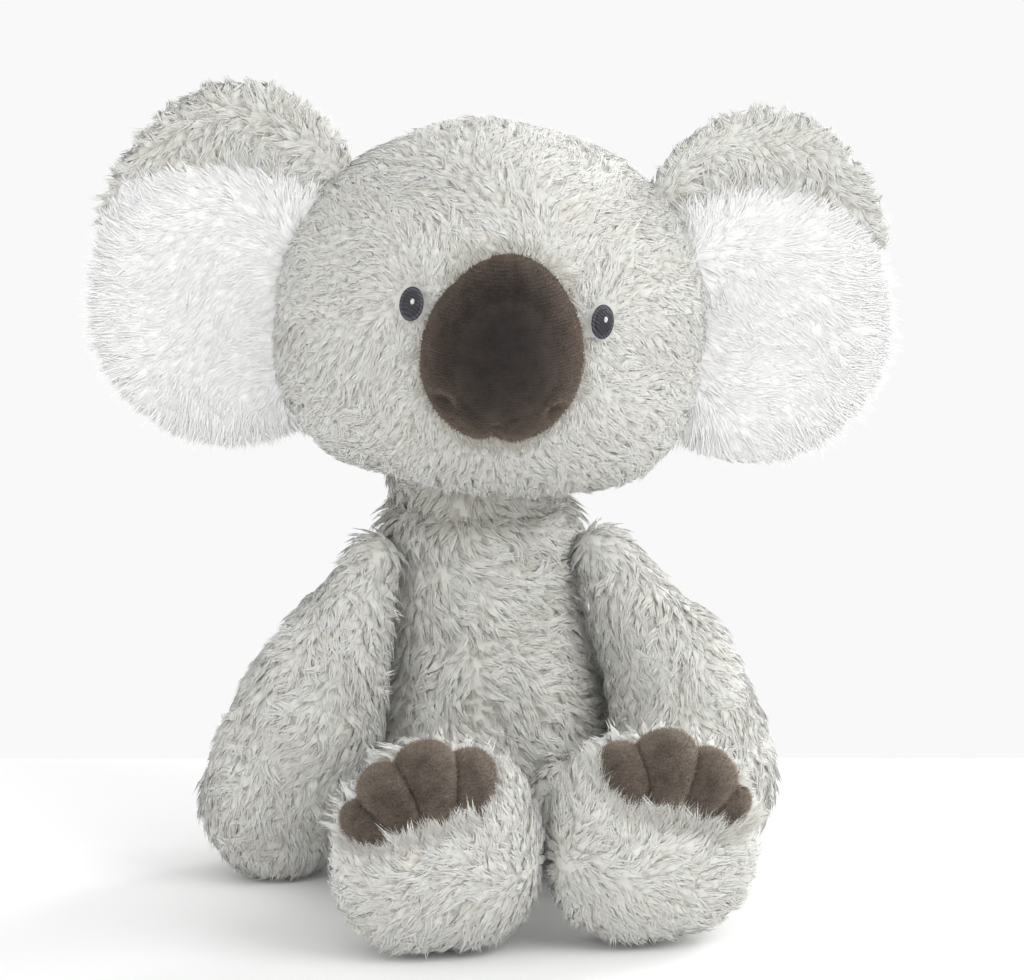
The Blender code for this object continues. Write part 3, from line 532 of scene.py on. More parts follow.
body = sewn(
    "body_plush",
    [
        skin(body_surface, across=48, down=40),
        pile(body_surface, tufts=4200, lay=body_lay, seed=11, trim=body_length, deep=body_shade),
    ],
    grey_fur,
)
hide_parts("body_fur")
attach(body, "body")

# Neck: the top of the body's fur, gathered round the wad of fibre that carries the head.

NECK_PLACE = np.array([0, 2 * mm, 128 * mm])
NECK_RADIUS = 28 * mm
# The heights over which the band of hair begins and ends
BAND_FOOT, BAND_TOP = (110 * mm, 114 * mm), (140 * mm, 144 * mm)


def sphere(u, v):
    """A unit ball: u turns round it, v runs from the bottom pole to the top one."""
    turn, fall = math.tau * u, math.pi * v
    return np.stack([np.sin(fall) * np.cos(turn), np.sin(fall) * np.sin(turn), -np.cos(fall)], axis=-1)


def neck_surface(u, v):
    """A ball, a little slack."""
    ball = sphere(u, v)
    return NECK_PLACE + ball * (NECK_RADIUS + waves(ball, 1.1, seed=5)[:, None] * 0.5 * mm)


def on_neck_band(points):
    """Hair only grows on the band that shows between the body and the head."""
    return smooth_step(points[:, 2], *BAND_FOOT) * (1 - smooth_step(points[:, 2], *BAND_TOP))


neck = sewn(
    "neck_plush",
    [
        skin(neck_surface, across=40, down=24),
        pile(neck_surface, tufts=550, lay=body_lay, seed=12, density=on_neck_band, deep=under_the_chin),
    ],
    grey_fur,
)
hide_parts("neck_wad")
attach(neck, "neck")

# Head: a wide ball of the same fur with full cheeks and a flat chin, tipped and turned a little.
# Its pile spreads out from the face, and is pulled in round the eyes and under the nose.

HEAD_HALVES = np.array([71.5, 56, 59.5]) * mm
HEAD_CENTRE = np.array([-3, -11, 60.5]) * mm
HEAD_TURN, HEAD_TIP = math.radians(-5.7), math.radians(6.5)
CHEEK_FULLNESS = 3.4
SIDES = {"left": -1, "right": 1}
EYE_SPREAD, EYE_RISE = 31 * mm, 8 * mm
EYE_HALVES = np.array([4.1, 5.7]) * mm
EYE_HOLLOW, EYE_HOLLOW_WIDTH = 1.8 * mm, 8 * mm
NOSE_HALVES = np.array([26.5, 26, 31.2]) * mm
NOSE_PLACE = np.array([0, -47, -4]) * mm
# How far ahead of the head's middle the face begins, and where it is full
FACE_FROM = (10 * mm, 35 * mm)


def turned(axis, angle):
    """The matrix of a turn about x, y or z."""
    matrix = np.eye(3)
    first, second = [(1, 2), (2, 0), (0, 1)][axis]
    matrix[first, first] = matrix[second, second] = math.cos(angle)
    matrix[first, second], matrix[second, first] = -math.sin(angle), math.sin(angle)
    return matrix


HEAD_MATRIX = turned(2, HEAD_TURN) @ turned(1, HEAD_TIP)


def from_head(points):
    """From the head's own frame, centred on the head, to the toy's."""
    return NECK_PLACE + (points + HEAD_CENTRE) @ HEAD_MATRIX.T


def to_head(points):
    """From the toy's frame to the head's own."""
    return (points - NECK_PLACE) @ HEAD_MATRIX - HEAD_CENTRE


def from_eye(own, side):
    """How far points of the head lie from the middle of an eye, as seen from the front."""
    return np.hypot(own[:, 0] - side * EYE_SPREAD, own[:, 2] - EYE_RISE)


def nose_reach(own):
    """How far points of the head lie from the nose's middle, as seen from the front: 1 on its edge."""
    return np.hypot(own[:, 0] / NOSE_HALVES[0], (own[:, 2] - NOSE_PLACE[2]) / NOSE_HALVES[2])


def full_cheeks(ball):
    """Below its middle the ball swells towards a rounded box."""
    round_share = np.hypot(ball[:, 0], ball[:, 1])
    full = np.maximum(1 - np.abs(ball[:, 2]) ** CHEEK_FULLNESS, 0) ** (1 / CHEEK_FULLNESS)
    swell = np.where((ball[:, 2] < 0) & (round_share > 1e-9), full / np.maximum(round_share, 1e-9), 1)
    return ball * np.stack([swell, swell, np.ones_like(swell)], axis=-1)


def head_surface(u, v):
    """The ball with full cheeks, a soft hollow at each eye, and slow lumps of stuffing."""
    own = full_cheeks(sphere(u, v)) * (HEAD_HALVES - SKIN_DEPTH)
    front = smooth_step(-own[:, 1], *FACE_FROM)
    sink = np.zeros(len(own))
    for side in SIDES.values():
        sink = sink + EYE_HOLLOW * front * np.exp(-((from_eye(own, side) / EYE_HOLLOW_WIDTH) ** 2))
    lumps = waves(own, 50 * mm, seed=7) * 0.8 * mm
    own = own + unit(own) * (lumps - sink)[:, None]
    return from_head(own)


def head_lay(points, normals):
    """Out from the nose and the eyes over the face, back over the crown, and down behind, with waves."""
    own = to_head(points)
    front = smooth_step(-own[:, 1:2], -25 * mm, 15 * mm)
    away = unit(own * [1, 0.4, 1] - np.array([0, 0, -4 * mm])) @ HEAD_MATRIX.T
    flow = away * front + np.array([0, 0.3, -0.25]) + np.array([0, 0, -1.0]) * (1 - front)
    for side in SIDES.values():
        gap = own - np.array([side * EYE_SPREAD, 0, EYE_RISE])
        near = np.exp(-((np.hypot(gap[:, 0], gap[:, 2]) / (11 * mm)) ** 2))[:, None] * front
        flow = flow + unit(gap * [1, 0, 1]) @ HEAD_MATRIX.T * near * 3
    return wavy(flow, points, normals, (34 * mm, 0.45, 8), (15 * mm, 0.3, 9))


def off_the_face(points):
    """No hair grows under the eyes or the nose, and short hair grows closer together."""
    own = to_head(points)
    front = own[:, 1] < 0
    bare = nose_reach(own) < 0.88
    under_stitches = EYE_HALVES - 0.4 * mm
    for side in SIDES.values():
        across, along = (own[:, 0] - side * EYE_SPREAD, own[:, 2] - EYE_RISE) / under_stitches[:, None]
        bare |= np.hypot(across, along) < 1
    bare &= front
    return np.where(bare, 0, 1 / short_by_the_face(points) ** 1.7)


def round_the_nose(points):
    """The fur is in shade in the crease round the nose and under the chin."""
    own = to_head(points)
    beside = (1 - smooth_step(nose_reach(own), 1.0, 1.1)) * (own[:, 1] < 0)
    low = 1 - smooth_step(own[:, 2], -57 * mm, -50 * mm)
    return 0.9 * np.maximum(beside, low)


def short_by_the_face(points):
    """Hair is shorter beside the eyes and the nose, and longer at the cheeks."""
    own = to_head(points)
    front = smooth_step(-own[:, 1], 5 * mm, 30 * mm)
    short = 1 - 0.35 * np.exp(-(np.maximum(nose_reach(own) - 1, 0) / 0.25) ** 2)
    for side in SIDES.values():
        short = short * (1 - 0.4 * np.exp(-((from_eye(own, side) / (9 * mm)) ** 2)))
    return 1 - front * (1 - short)


head = sewn(
    "head_plush",
    [
        skin(head_surface, across=80, down=52),
        pile(
            head_surface, tufts=5900, lay=head_lay, seed=13, length=9 * mm, lift=0.11, roundness=0.12,
            density=off_the_face, trim=short_by_the_face, deep=round_the_nose,
        ),
    ],
    grey_fur,
)
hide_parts("head_fur")
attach(head, "head")

# Nose: an egg of short-pile plush over its own wad of fibre, sewn to the face all round. A seam
# runs down its middle, two tucks mark the nostrils, and a notch draws in its lower edge.


def groove(points, start, end, width):
    """1 on a line between two points of the face's plane, x and z, falling to 0 at width."""
    start, end = np.array(start) * mm, np.array(end) * mm
    flat = points[:, [0, 2]]
    along = np.clip((flat - start) @ (end - start) / np.sum((end - start) ** 2), 0, 1)[:, None]
    away = np.linalg.norm(flat - start - along * (end - start), axis=-1)
    return np.exp(-((away / width) ** 2))


def nose_surface(u, v):
    """An egg, narrow above, pressed in along its seam, its two nostril tucks and its notch."""
    ball = sphere(u, v)
    # Fuller low down than an egg: its widest part is a little below the middle
    ball = ball * np.stack([1 - 0.1 * ball[:, 2]] + [np.ones(len(ball))] * 2, axis=-1)
    own = ball * NOSE_HALVES
    notch = 2 * mm * np.maximum(-ball[:, 2], 0) ** 4 * np.maximum(1 - 4 * np.abs(ball[:, 0]), 0)
    own[:, 2] += notch
    front = smooth_step(-own[:, 1], 2 * mm, 10 * mm)
    sink = 2.2 * mm * groove(own, (-19.5, -16.5), (-17.5, -17), 2.1 * mm)
    sink += 2.2 * mm * groove(own, (19.5, -16.5), (17.5, -17), 2.1 * mm)
    sink += 0.9 * mm * groove(own, (0, -30), (0, -23), 1.3 * mm)
    sink += 0.35 * mm * groove(own, (0, 29), (0, 14), 1.0 * mm)
    # The skirt of the egg lies inside the head, so that the fur meets it
    own = own - unit(own) * (sink * front)[:, None]
    return from_head(own + NOSE_PLACE)


# The bands of a wave texture at a scale of 1 lie this many metres apart
WAVE_PERIOD = 0.314


def plush_material(name, deep, pale, rim, row):
    """Short-pile polyester velour: dark along the view, with a painted sheen of the rim colour where seen
    from the side.

    Fine rows of pile, as knitted, row metres apart, and blotches where it was stroked.
    """
    made, tree = material(name)
    place = add(tree, "TexCoord").outputs["Object"]
    blotch_settings = {"Scale": 0.17 / mm, "Detail": 4.0, "Roughness": 0.6}
    blotch = add(tree, "TexNoise", blotch_settings, {"Vector": place})
    grain_settings = {"Scale": 1.5 / mm, "Detail": 3.0, "Roughness": 0.7}
    grain = add(tree, "TexNoise", grain_settings, {"Vector": place})
    row_settings = {
        "wave_type": "BANDS", "bands_direction": "Z", "Scale": WAVE_PERIOD / row, "Distortion": 3.5,
        "Detail": 3.0, "Detail Scale": 1.6,
    }
    lines = add(tree, "TexWave", row_settings, {"Vector": place}).outputs["Fac"]
    amount = add(tree, "Math", {"operation": "ADD"}, {0: blotch, 1: grain})
    share = add(tree, "MapRange", {1: 0.75, 2: 1.3, 3: 0.0, 4: 1.0}, {0: amount})
    colours = {"data_type": "RGBA", 6: linear(deep), 7: linear(pale)}
    colour = add(tree, "Mix", colours, {"Factor": share})
    # Painted sheen: pile seen edge on catches the light, so there the colour turns towards the rim colour
    edge = add(tree, "LayerWeight", {"Blend": 0.35}).outputs["Facing"]
    faced = add(tree, "Math", {"operation": "MULTIPLY", 1: 1.6}, {0: edge})
    ribbed = add(tree, "MapRange", {1: 0.0, 2: 1.0, 3: 0.7, 4: 1.2}, {0: lines})
    stroked = add(tree, "Math", {"operation": "MULTIPLY"}, {0: ribbed, 1: blotch})
    painted_sheen_share = add(tree, "Math", {"operation": "MULTIPLY"}, {0: faced, 1: stroked})
    lit = add(tree, "Mix", {"data_type": "RGBA", 7: linear(rim)}, {"Factor": painted_sheen_share, 6: colour.outputs[2]})
    # Single hairs, where a piece has them, are dark at the root and pale at the tip
    mark = add(tree, "Attribute", {"attribute_name": "pile"})
    hair_share, _, hair_number = add(tree, "SeparateColor", {}, {0: mark.outputs["Color"]}).outputs[:3]
    tone = add(tree, "MapRange", {1: 0.0, 2: 1.0, 3: 0.55, 4: 1.25}, {0: hair_share})
    own_tone = add(tree, "MapRange", {1: 0.0, 2: 1.0, 3: 0.78, 4: 1.3}, {0: hair_number})
    tones = add(tree, "Math", {"operation": "MULTIPLY"}, {0: tone, 1: own_tone})
    toned = add(tree, "HueSaturation", {}, {"Value": tones, "Color": lit.outputs[2]})
    height = add(tree, "Math", {"operation": "MULTIPLY_ADD", 1: 0.18}, {0: lines, 2: grain})
    bloom = {
        "Roughness": 0.85, "Specular IOR Level": 0.2, "Sheen Weight": 0.6, "Sheen Roughness": 0.35,
        "Sheen Tint": linear("B8A594"),
    }
    surfaced(tree, bloom, toned, height, strength=0.55, depth=0.5 * mm)
    return made


def velvet(surface, hairs, seed, length, density, lay=None, deep=None):
    """Single hairs, each a thin three-sided spike. They stand nearly straight up, or lean along a lay.

    deep(points), from 0 to 1, is painted shade: it gives hairs in a crease the darker tone of the roots.
    """
    rng = np.random.default_rng(seed)
    u, v = scattered(surface, hairs, rng, density)
    roots, normals = frame_on(surface, u, v)
    lean = normals * 0.5 + unit(lay(roots, normals)) if lay else normals + np.array([0, 0, 0.35])
    lean = unit(lean + rng.normal(0, 0.35, (hairs, 3)))
    first = unit(np.cross(lean, rng.normal(size=(hairs, 3))))
    second = np.cross(lean, first)
    corners = math.tau * np.arange(3) / 3
    feet = [roots + (first * math.cos(turn) + second * math.sin(turn)) * 0.16 * mm for turn in corners]
    tips = roots + lean * length * rng.uniform(0.6, 1.1, (hairs, 1))
    firsts = (4 * np.arange(hairs))[:, None, None]
    tris = (firsts + np.array([[0, 1, 3], [1, 2, 3], [2, 0, 3], [2, 1, 0]])).reshape(-1, 3)
    points = np.stack([*feet, tips], axis=1).reshape(-1, 3)
    shades = np.ones((hairs, 4, 4))
    shades[:, :3, 0] = 0.0
    # Painted shade: in a crease the tips take the roots' darker tone
    if deep:
        shades[:, 3, 0] -= deep(roots)
    shades[..., 2] = rng.uniform(0, 1, (hairs, 1))
    soft = np.repeat(normals, 4, axis=0)
    return points, np.zeros((0, 4), int), tris, shades.reshape(-1, 4), soft


def at_the_edge(points):
    """The nose's rim as seen from the front, where its pile stands out against the fur."""
    own = to_head(points) - NOSE_PLACE
    return np.where((own[:, 1] > -20 * mm) & (own[:, 1] < 1 * mm), 1, 0)


# Dark brown velour, a minky: soft, with no shine but a pale bloom at its edges, from the shader's sheen and a
# painted sheen in its colour
nose_plush = plush_material("dark_brown_velour", deep="25211F", pale="373130", rim="86766A", row=1.0 * mm)
nose = sewn(
    "nose_plush",
    [
        skin(nose_surface, across=128, down=96),
        velvet(nose_surface, hairs=4000, seed=15, length=1.3 * mm, density=at_the_edge),
    ],
    nose_plush,
)
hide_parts("nose_cover")
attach(nose, "head")

# Eyes: embroidered in satin stitch through the face: a grey-purple ring, a charcoal pupil and a
# white glint. Machine thread about 0.4 mm thick lies side by side across each shape.


def thread_material(name, base, painted_sheen_tone):
    """Rayon embroidery thread: a painted shine of paler slanting bands, wider than its strands so that they
    show, over the shader's soft gloss.
    """
    made, tree = material(name)
    place = add(tree, "TexCoord").outputs["Object"]
    band_settings = {
        "wave_type": "BANDS", "bands_direction": "DIAGONAL", "Scale": 0.4 / mm, "Distortion": 0.6,
        "Detail": 1.0,
    }
    bands = add(tree, "TexWave", band_settings, {"Vector": place}).outputs["Fac"]
    colours = {"data_type": "RGBA", 6: linear(base), 7: linear(painted_sheen_tone)}
    colour = add(tree, "Mix", colours, {"Factor": bands}).outputs[2]
    shine = {"Roughness": 0.42, "Specular IOR Level": 0.5}
    surfaced(tree, shine, colour, bands, strength=0.6, depth=0.3 * mm)
    return made


# Rayon thread: grey-purple, charcoal and white, each with a paler tone for its painted shine
ring_thread = thread_material("grey_purple_rayon_thread", "2A2931", "4A4754")
pupil_thread = thread_material("charcoal_rayon_thread", "151519", "2B2B33")
glint_thread = thread_material("white_rayon_thread", "C4C4CA", "E2E2E6")


def finished(node_name, finish):
    """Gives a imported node's object one material in all its slots."""
    obj = bpy.data.objects[node_name]
    obj.data.materials.clear()
    obj.data.materials.append(finish)


# Rows of stitches, a little wider apart than real ones so that they show
RIB_SPACING, RIB_HEIGHT = 0.55 * mm, 0.06 * mm

for side_name, side in SIDES.items():
    # The eye's own frame: its place on the head, and the ways across, up and out there
    middle = np.array([side * EYE_SPREAD, 0, EYE_RISE])
    middle[1] = -HEAD_HALVES[1] * math.sqrt(1 - np.sum((middle / HEAD_HALVES) ** 2))
    out = unit(middle / HEAD_HALVES**2)
    across = unit(np.cross([0, 0, 1.0], out)) * -1
    upward = np.cross(out, -across)

    # Each low cushion: its share of the eye's size, its half depth, its height off the face, and how far
    # the middle lies across and up
    for piece_name, share, depth, rise, shift, thread in (
        ("ring", 1.0, 0.9 * mm, 0.6 * mm, (0.0, 0.0), ring_thread),
        ("pupil", 0.76, 0.8 * mm, 1.1 * mm, (0.0, 0.0), pupil_thread),
        ("glint", 0.17, 0.5 * mm, 1.75 * mm, (0.5 * mm, 0.9 * mm), glint_thread),
    ):

        def cushion(u, v):
            """A low oval ball on the face, ribbed by its rows of stitches."""
            ball = sphere(u, v)
            flat = ball[:, :2] * EYE_HALVES * share + np.array(shift)
            height = rise + depth * ball[:, 2] + RIB_HEIGHT * np.sin(math.tau * flat[:, 1] / RIB_SPACING)
            own = middle - across * flat[:, :1] + upward * flat[:, 1:2] + out * height[:, None]
            return from_head(own)

        stitched = sewn(f"eye_{side_name}_{piece_name}_stitches", [skin(cushion, across=48, down=32)], thread)
        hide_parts(f"eye_{side_name}_{piece_name}")
        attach(stitched, "head")

# Ears: each is a flat oval cushion of grey fur, cupped forwards, whose top rolls over the front.
# A lining of long white fur is sewn into its front. Both are gathered at the head.

EAR_CENTRE = np.array([86, 10.5, 9]) * mm
EAR_HALVES = np.array([46, 9.5, 59.5]) * mm
EAR_CUP = 11 * mm
LINING_SHIFT = np.array([0, -4.5, -11.5]) * mm
LINING_HALVES = np.array([44, 9, 46.5]) * mm
EAR_DROOP = math.radians(3)
# The toy's left ear is drawn in a little at its outer edge
EAR_SPANS = {-1: 1.0, 1: 0.965}
# How far the back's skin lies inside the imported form: most at its outer edge
BACK_DEPTH = SKIN_DEPTH * np.array([1, 0.6, 0.8])


def cupped(own):
    """How far the cup brings each point of the flat ear forwards."""
    rim = (own[:, 0] / EAR_HALVES[0]) ** 2 + (own[:, 2] / EAR_HALVES[2]) ** 2
    return np.stack([0 * rim, EAR_CUP * rim, 0 * rim], axis=-1)


def ear_point(own, side):
    """Cups a point of the flat ear forwards towards its rim and takes it to the toy's frame."""
    own = own - cupped(own) + EAR_CENTRE * [side, 1, 1]
    return from_head(own @ turned(1, -EAR_DROOP).T)


def flat_ear(points, side):
    """A point of the toy's frame in the flat ear's own."""
    own = to_head(points) @ turned(1, -EAR_DROOP) - EAR_CENTRE * [side, 1, 1]
    return own + cupped(own)


def oval_reach(own, halves):
    """How far points lie from the middle of an oval, as seen from the front: 1 on its edge."""
    return np.hypot(own[:, 0] / halves[0], own[:, 2] / halves[2])


def in_head(points):
    """Whether points lie inside the head, where no hair grows."""
    return np.linalg.norm(to_head(points) / HEAD_HALVES, axis=-1) < 0.97


# White polyester fur, longer and silkier than the grey
white_fur = fur_material(
    "white_polyester_fur", root="F6F6F5", middle="F9F9F8", tip="FBFBFB", warm="F9F7F2", warm_share=0.3,
    variety=0.01,
)

for side_name, side in SIDES.items():

    def back_surface(u, v):
        """A flat ball, a little lumpy, cupped."""
        ball = sphere(u, v)
        lumps = 1 + waves(ball, 1.6, seed=20 + side)[:, None] * 0.02
        own = ball * (EAR_HALVES - BACK_DEPTH) * lumps * [EAR_SPANS[side], 1, 1]
        return ear_point(own, side)

    def lining_surface(u, v):
        """A smaller flat ball in front of the back, lower down, that covers the back's rim there."""
        ball = sphere(u, v)
        outer = np.maximum(ball[:, 2], 0) ** 2 * (ball[:, 0] * side > 0)
        outer_share = 0.35 if side < 0 else 0.2
        wider = EAR_SPANS[side] * (1 + outer_share * outer)
        own = ball * LINING_HALVES
        own[:, 0] *= wider
        return ear_point(own + LINING_SHIFT, side)

    def back_lay(points, normals):
        """Out towards the rim, and at the top forwards over the lining."""
        own = flat_ear(points, side)
        out = unit(own * [1, 0, 1] + np.array([side * 20, 0, 10]) * mm)
        # Out at the rolled top's rim, then turning aside, and down over the lining lower on its front
        reach = oval_reach(own, EAR_HALVES)
        turn = math.pi * smooth_step(1 - reach, 0.03, 0.3) * smooth_step(-own[:, 1], 0, 3 * mm)
        aside = np.stack([side * out[:, 2], 0 * turn, -side * out[:, 0]], axis=-1)
        flow = out * np.cos(turn)[:, None] + aside * np.sin(turn)[:, None]
        behind = smooth_step(own[:, 1:2], 0, 3 * mm)
        flow = flow * (1 - behind) + np.array([side * 0.45, 0.2, -0.8]) * behind
        # Beside and below the lining it is brushed backwards, so that the white hair makes the outline
        low = 1 - smooth_step(own[:, 2], 20 * mm, 32 * mm)
        flow = flow * (1 - 0.7 * low)[:, None] + HEAD_MATRIX[:, 1] * low[:, None]
        return wavy(flow, points, normals, (30 * mm, 0.45, 22 + side), (14 * mm, 0.3, 24 + side))

    def lining_lay(points, normals):
        """Out from the root and down, in long soft sweeps."""
        own = flat_ear(points, side)
        middle = unit((own - LINING_SHIFT) * [1, 0, 1])
        near_rim = smooth_step(oval_reach(own - LINING_SHIFT, LINING_HALVES), 0.45, 0.95)[:, None]
        out = np.array([side * 0.9, 0, -0.45]) + middle * near_rim * 2.5
        # Behind the rim it lies back against the grey fur
        rear = smooth_step(own[:, 1:2], -5.5 * mm, -3 * mm)
        out = out * (1 - rear) + HEAD_MATRIX[:, 1] * rear
        return wavy(out, points, normals, (40 * mm, 0.45, 26 + side))

    def behind_the_lining(points):
        """Grey hair grows on the back and on the rolled top."""
        own = flat_ear(points, side)
        covered = (own[:, 1] < 0) & (oval_reach(own - LINING_SHIFT, LINING_HALVES) < 0.97)
        low_front = (own[:, 1] < 1 * mm) & (own[:, 2] < 12 * mm)
        return np.where(covered | low_front | in_head(points), 0, 1)

    def front_only(points):
        """White hair grows wherever the lining stands out of the ear's back and the head."""
        own = flat_ear(points, side)
        sunk = np.linalg.norm(own / EAR_HALVES, axis=-1) < 0.97
        return np.where(sunk | in_head(points), 0, 1)

    def short_at_the_rim(points):
        """White hair is shorter at the rim, most so low down and on the toy's left ear."""
        own = flat_ear(points, side) - LINING_SHIFT
        reach = oval_reach(own, LINING_HALVES)
        low = smooth_step(-own[:, 2], 10 * mm, 40 * mm)
        return 1 - (0.42 + 0.2 * low + 0.15 * (side > 0)) * smooth_step(reach, 0.75, 1.0)

    def short_at_the_top(points):
        """Grey hair is shorter at the rim."""
        own = flat_ear(points, side)
        reach = oval_reach(own, EAR_HALVES)
        return 1 - (0.35 + 0.2 * (side > 0)) * smooth_step(reach, 0.8, 1.0)

    ear_back = sewn(
        f"ear_{side_name}_back_plush",
        [
            skin(back_surface, across=48, down=32),
            pile(
                back_surface, tufts=1750, lay=back_lay, seed=30 + side, stray=0.42, lift=0.14,
                roundness=0.16, density=behind_the_lining, trim=short_at_the_top,
            ),
        ],
        grey_fur,
    )
    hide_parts(f"ear_{side_name}_back")
    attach(ear_back, f"ear_{side_name}")

    ear_lining = sewn(
        f"ear_{side_name}_lining_plush",
        [
            skin(lining_surface, across=48, down=32),
            pile(
                lining_surface, tufts=1550, lay=lining_lay, seed=33 + side, length=13 * mm,
                width=4.8 * mm, lift=0.05, wave=0.1, hairs=15, stray=0.2, roundness=0.04,
                density=front_only, trim=short_at_the_rim,
            ),
        ],
        white_fur,
    )
    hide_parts(f"ear_{side_name}_lining")
    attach(ear_lining, f"ear_{side_name}")

# Arms: fur tubes that swell from a small sewn root to a full paw, which rests on the floor.

SHOULDER = np.array([37.8, -18.25, 105]) * mm
PAW = np.array([71.5, -18, 24.5]) * mm
ARM_BOW = np.array([4, -9, 0]) * mm
SHOULDER_RADIUS, PAW_RADIUS = 10 * mm, 25 * mm
ARM_SWELL = ((0.0, 0.0), (0.12, 0.17), (0.25, 0.43), (0.4, 0.73), (0.55, 0.92), (0.75, 0.99), (1.0, 1.0))


def limb(u, v, spine, radius, cap):
    """A circle carried along a spine, with half a ball on each end, which takes a share cap of v."""
    along = np.clip((v - cap) / (1 - 2 * cap), 0, 1)
    tilt = np.where(v < cap, v / cap - 1, np.where(v > 1 - cap, (v - 1) / cap + 1, 0)) * math.pi / 2
    centre = spine(along)
    ahead = unit(spine(np.clip(along + 0.01, 0, 1)) - spine(np.clip(along - 0.01, 0, 1)))
    side = unit(np.cross(ahead, [1.0, 0, 0]))
    other = np.cross(ahead, side)
    turn = (math.tau * u)[:, None]
    way = side * np.cos(turn) + other * np.sin(turn)
    size = radius(along)[:, None]
    tilt = tilt[:, None]
    return centre + (ahead * np.sin(tilt) + way * np.cos(tilt)) * size


def along_limb(table, share):
    """A table of shares along a limb, read between its rows."""
    rows = np.array(table)
    return np.interp(share, rows[:, 0], rows[:, 1])


def limb_lay(points, normals, ahead, seed):
    """Along the limb and down, with waves."""
    flow = ahead + np.array([0, 0, -0.3])
    return wavy(flow, points, normals, (28 * mm, 0.6, seed), (14 * mm, 0.35, seed + 1))


def on_floor(points):
    """Presses what would go below the floor flat on it, just above it."""
    return np.column_stack([points[:, :2], np.maximum(points[:, 2], 0.15 * mm)])


for side_name, side in SIDES.items():

    def arm_spine(share):
        """From the shoulder to the paw, bowed out and forwards."""
        straight = SHOULDER + (PAW - SHOULDER) * share[:, None]
        return (straight + ARM_BOW * (4 * share * (1 - share))[:, None]) * [side, 1, 1]

    def arm_radius(share):
        """The arm's half thickness under its pile."""
        swell = along_limb(ARM_SWELL, share)
        return SHOULDER_RADIUS + (PAW_RADIUS - SHOULDER_RADIUS) * swell - SKIN_DEPTH

    def arm_surface(u, v):
        """The limb with slow lumps of stuffing, flat on the floor."""
        points = limb(u, v, arm_spine, arm_radius, 0.18)
        lumps = waves(points, 32 * mm, seed=40 + side) * 0.8 * mm
        centre = np.array([side * 60, -28, 60]) * mm
        return on_floor(points + unit(points - centre) * lumps[:, None])

    def arm_lay(points, normals):
        """Along the arm, and over the shoulder out from its highest point, beside the neck."""
        flow = limb_lay(points, normals, unit((PAW - SHOULDER) * [side, 1, 1]), 42 + side)
        top = (SHOULDER + np.array([-7, 0, 9]) * mm) * [side, 1, 1]
        near = 1 - smooth_step(np.linalg.norm(points - top, axis=-1), 12 * mm, 26 * mm)[:, None]
        return flow * (1 - near) + unit(points - top) * near

    def short_at_the_root(points):
        """Hair is shorter at the shoulder and near the floor."""
        away = np.linalg.norm(points - SHOULDER * [side, 1, 1], axis=-1)
        return near_floor(points) * (0.85 + 0.15 * smooth_step(away, 10 * mm, 24 * mm))

    arm = sewn(
        f"arm_{side_name}_plush",
        [
            skin(arm_surface, across=40, down=44),
            pile(
                arm_surface, tufts=2000, lay=arm_lay, seed=50 + side, width=4.7 * mm, lift=0.12, stray=0.36,
                roundness=0.16, trim=short_at_the_root,
            ),
        ],
        grey_fur,
    )
    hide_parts(f"arm_{side_name}_fur")
    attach(arm, f"arm_{side_name}")

# Legs: short fur tubes that lie on the floor ahead of the body, mostly behind the feet.

HIP = np.array([25.64, -43.77, 24]) * mm
ANKLE = np.array([34.2, -88.27, 27]) * mm
HIP_RADIUS, ANKLE_RADIUS = 18.5 * mm, 14 * mm
LEG_TAPER = ((0.0, 0.0), (0.2, 0.4), (0.45, 0.55), (0.75, 0.6), (1.0, 1.0))

for side_name, side in SIDES.items():

    def leg_spine(share):
        """Straight from the hip to the ankle."""
        return (HIP + (ANKLE - HIP) * share[:, None]) * [side, 1, 1]

    def leg_radius(share):
        """The leg's half thickness under its pile, which is thinner there."""
        taper = along_limb(LEG_TAPER, share)
        return HIP_RADIUS + (ANKLE_RADIUS - HIP_RADIUS) * taper - SKIN_DEPTH * 0.5

    def leg_surface(u, v):
        """A plain tapered limb."""
        return limb(u, v, leg_spine, leg_radius, 0.25)

    def leg_lay(points, normals):
        """Along the leg."""
        return limb_lay(points, normals, unit((ANKLE - HIP) * [side, 1, 1]), 60 + side)

    leg = sewn(
        f"leg_{side_name}_plush",
        [
            skin(leg_surface, across=32, down=32),
            pile(leg_surface, tufts=500, lay=leg_lay, seed=62 + side, length=8 * mm, trim=near_floor),
        ],
        grey_fur,
    )
    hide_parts(f"leg_{side_name}_fur")
    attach(leg, f"leg_{side_name}")

# Feet: round cushions of grey fur that stand on their heels and show their soles. A row of four
# toes, of taupe velour, is sewn into the top of each.

FOOT_CENTRE = np.array([35.2, -118.27, 34.5]) * mm
FOOT_HALVES = np.array([34.5, 22, 35]) * mm
FOOT_SQUARENESS = 2.3
TOE_PLACE = np.array([0, -7, 22]) * mm
TOE_HALVES = np.array([10.5, 13, 15]) * mm
# How far each toe is turned about the foot's middle, in degrees, and its size as a share of the halves
TOE_PLACES = ((-22, 0.93), (8, 1.05), (38, 1.0), (62, 0.8))
# The toes' dent in the foot, how far the toes' plush stands out, and where their backs are hidden
TOE_DENT, TOE_SLACK, TOES_BACK = 5 * mm, 0.4 * mm, -112 * mm

# Taupe velour, as on the nose but paler, with the same painted sheen at its edges
toe_plush = plush_material("taupe_velour", deep="5C524B", pale="84786D", rim="B4A797", row=1.1 * mm)


def in_toe(points, side, degrees, share):
    """How far points lie from a toe's centre, as a share of its size: 1 on its surface."""
    own = (points - FOOT_CENTRE * [side, 1, 1]) @ turned(1, math.radians(side * degrees)) - TOE_PLACE
    return np.linalg.norm(own / (TOE_HALVES * share), axis=-1)


def toe_reaches(points, side):
    """How far points lie from each toe, as shares of its size, the nearest toe first."""
    return np.sort([in_toe(points, side, degrees, share) for degrees, share in TOE_PLACES], axis=0)


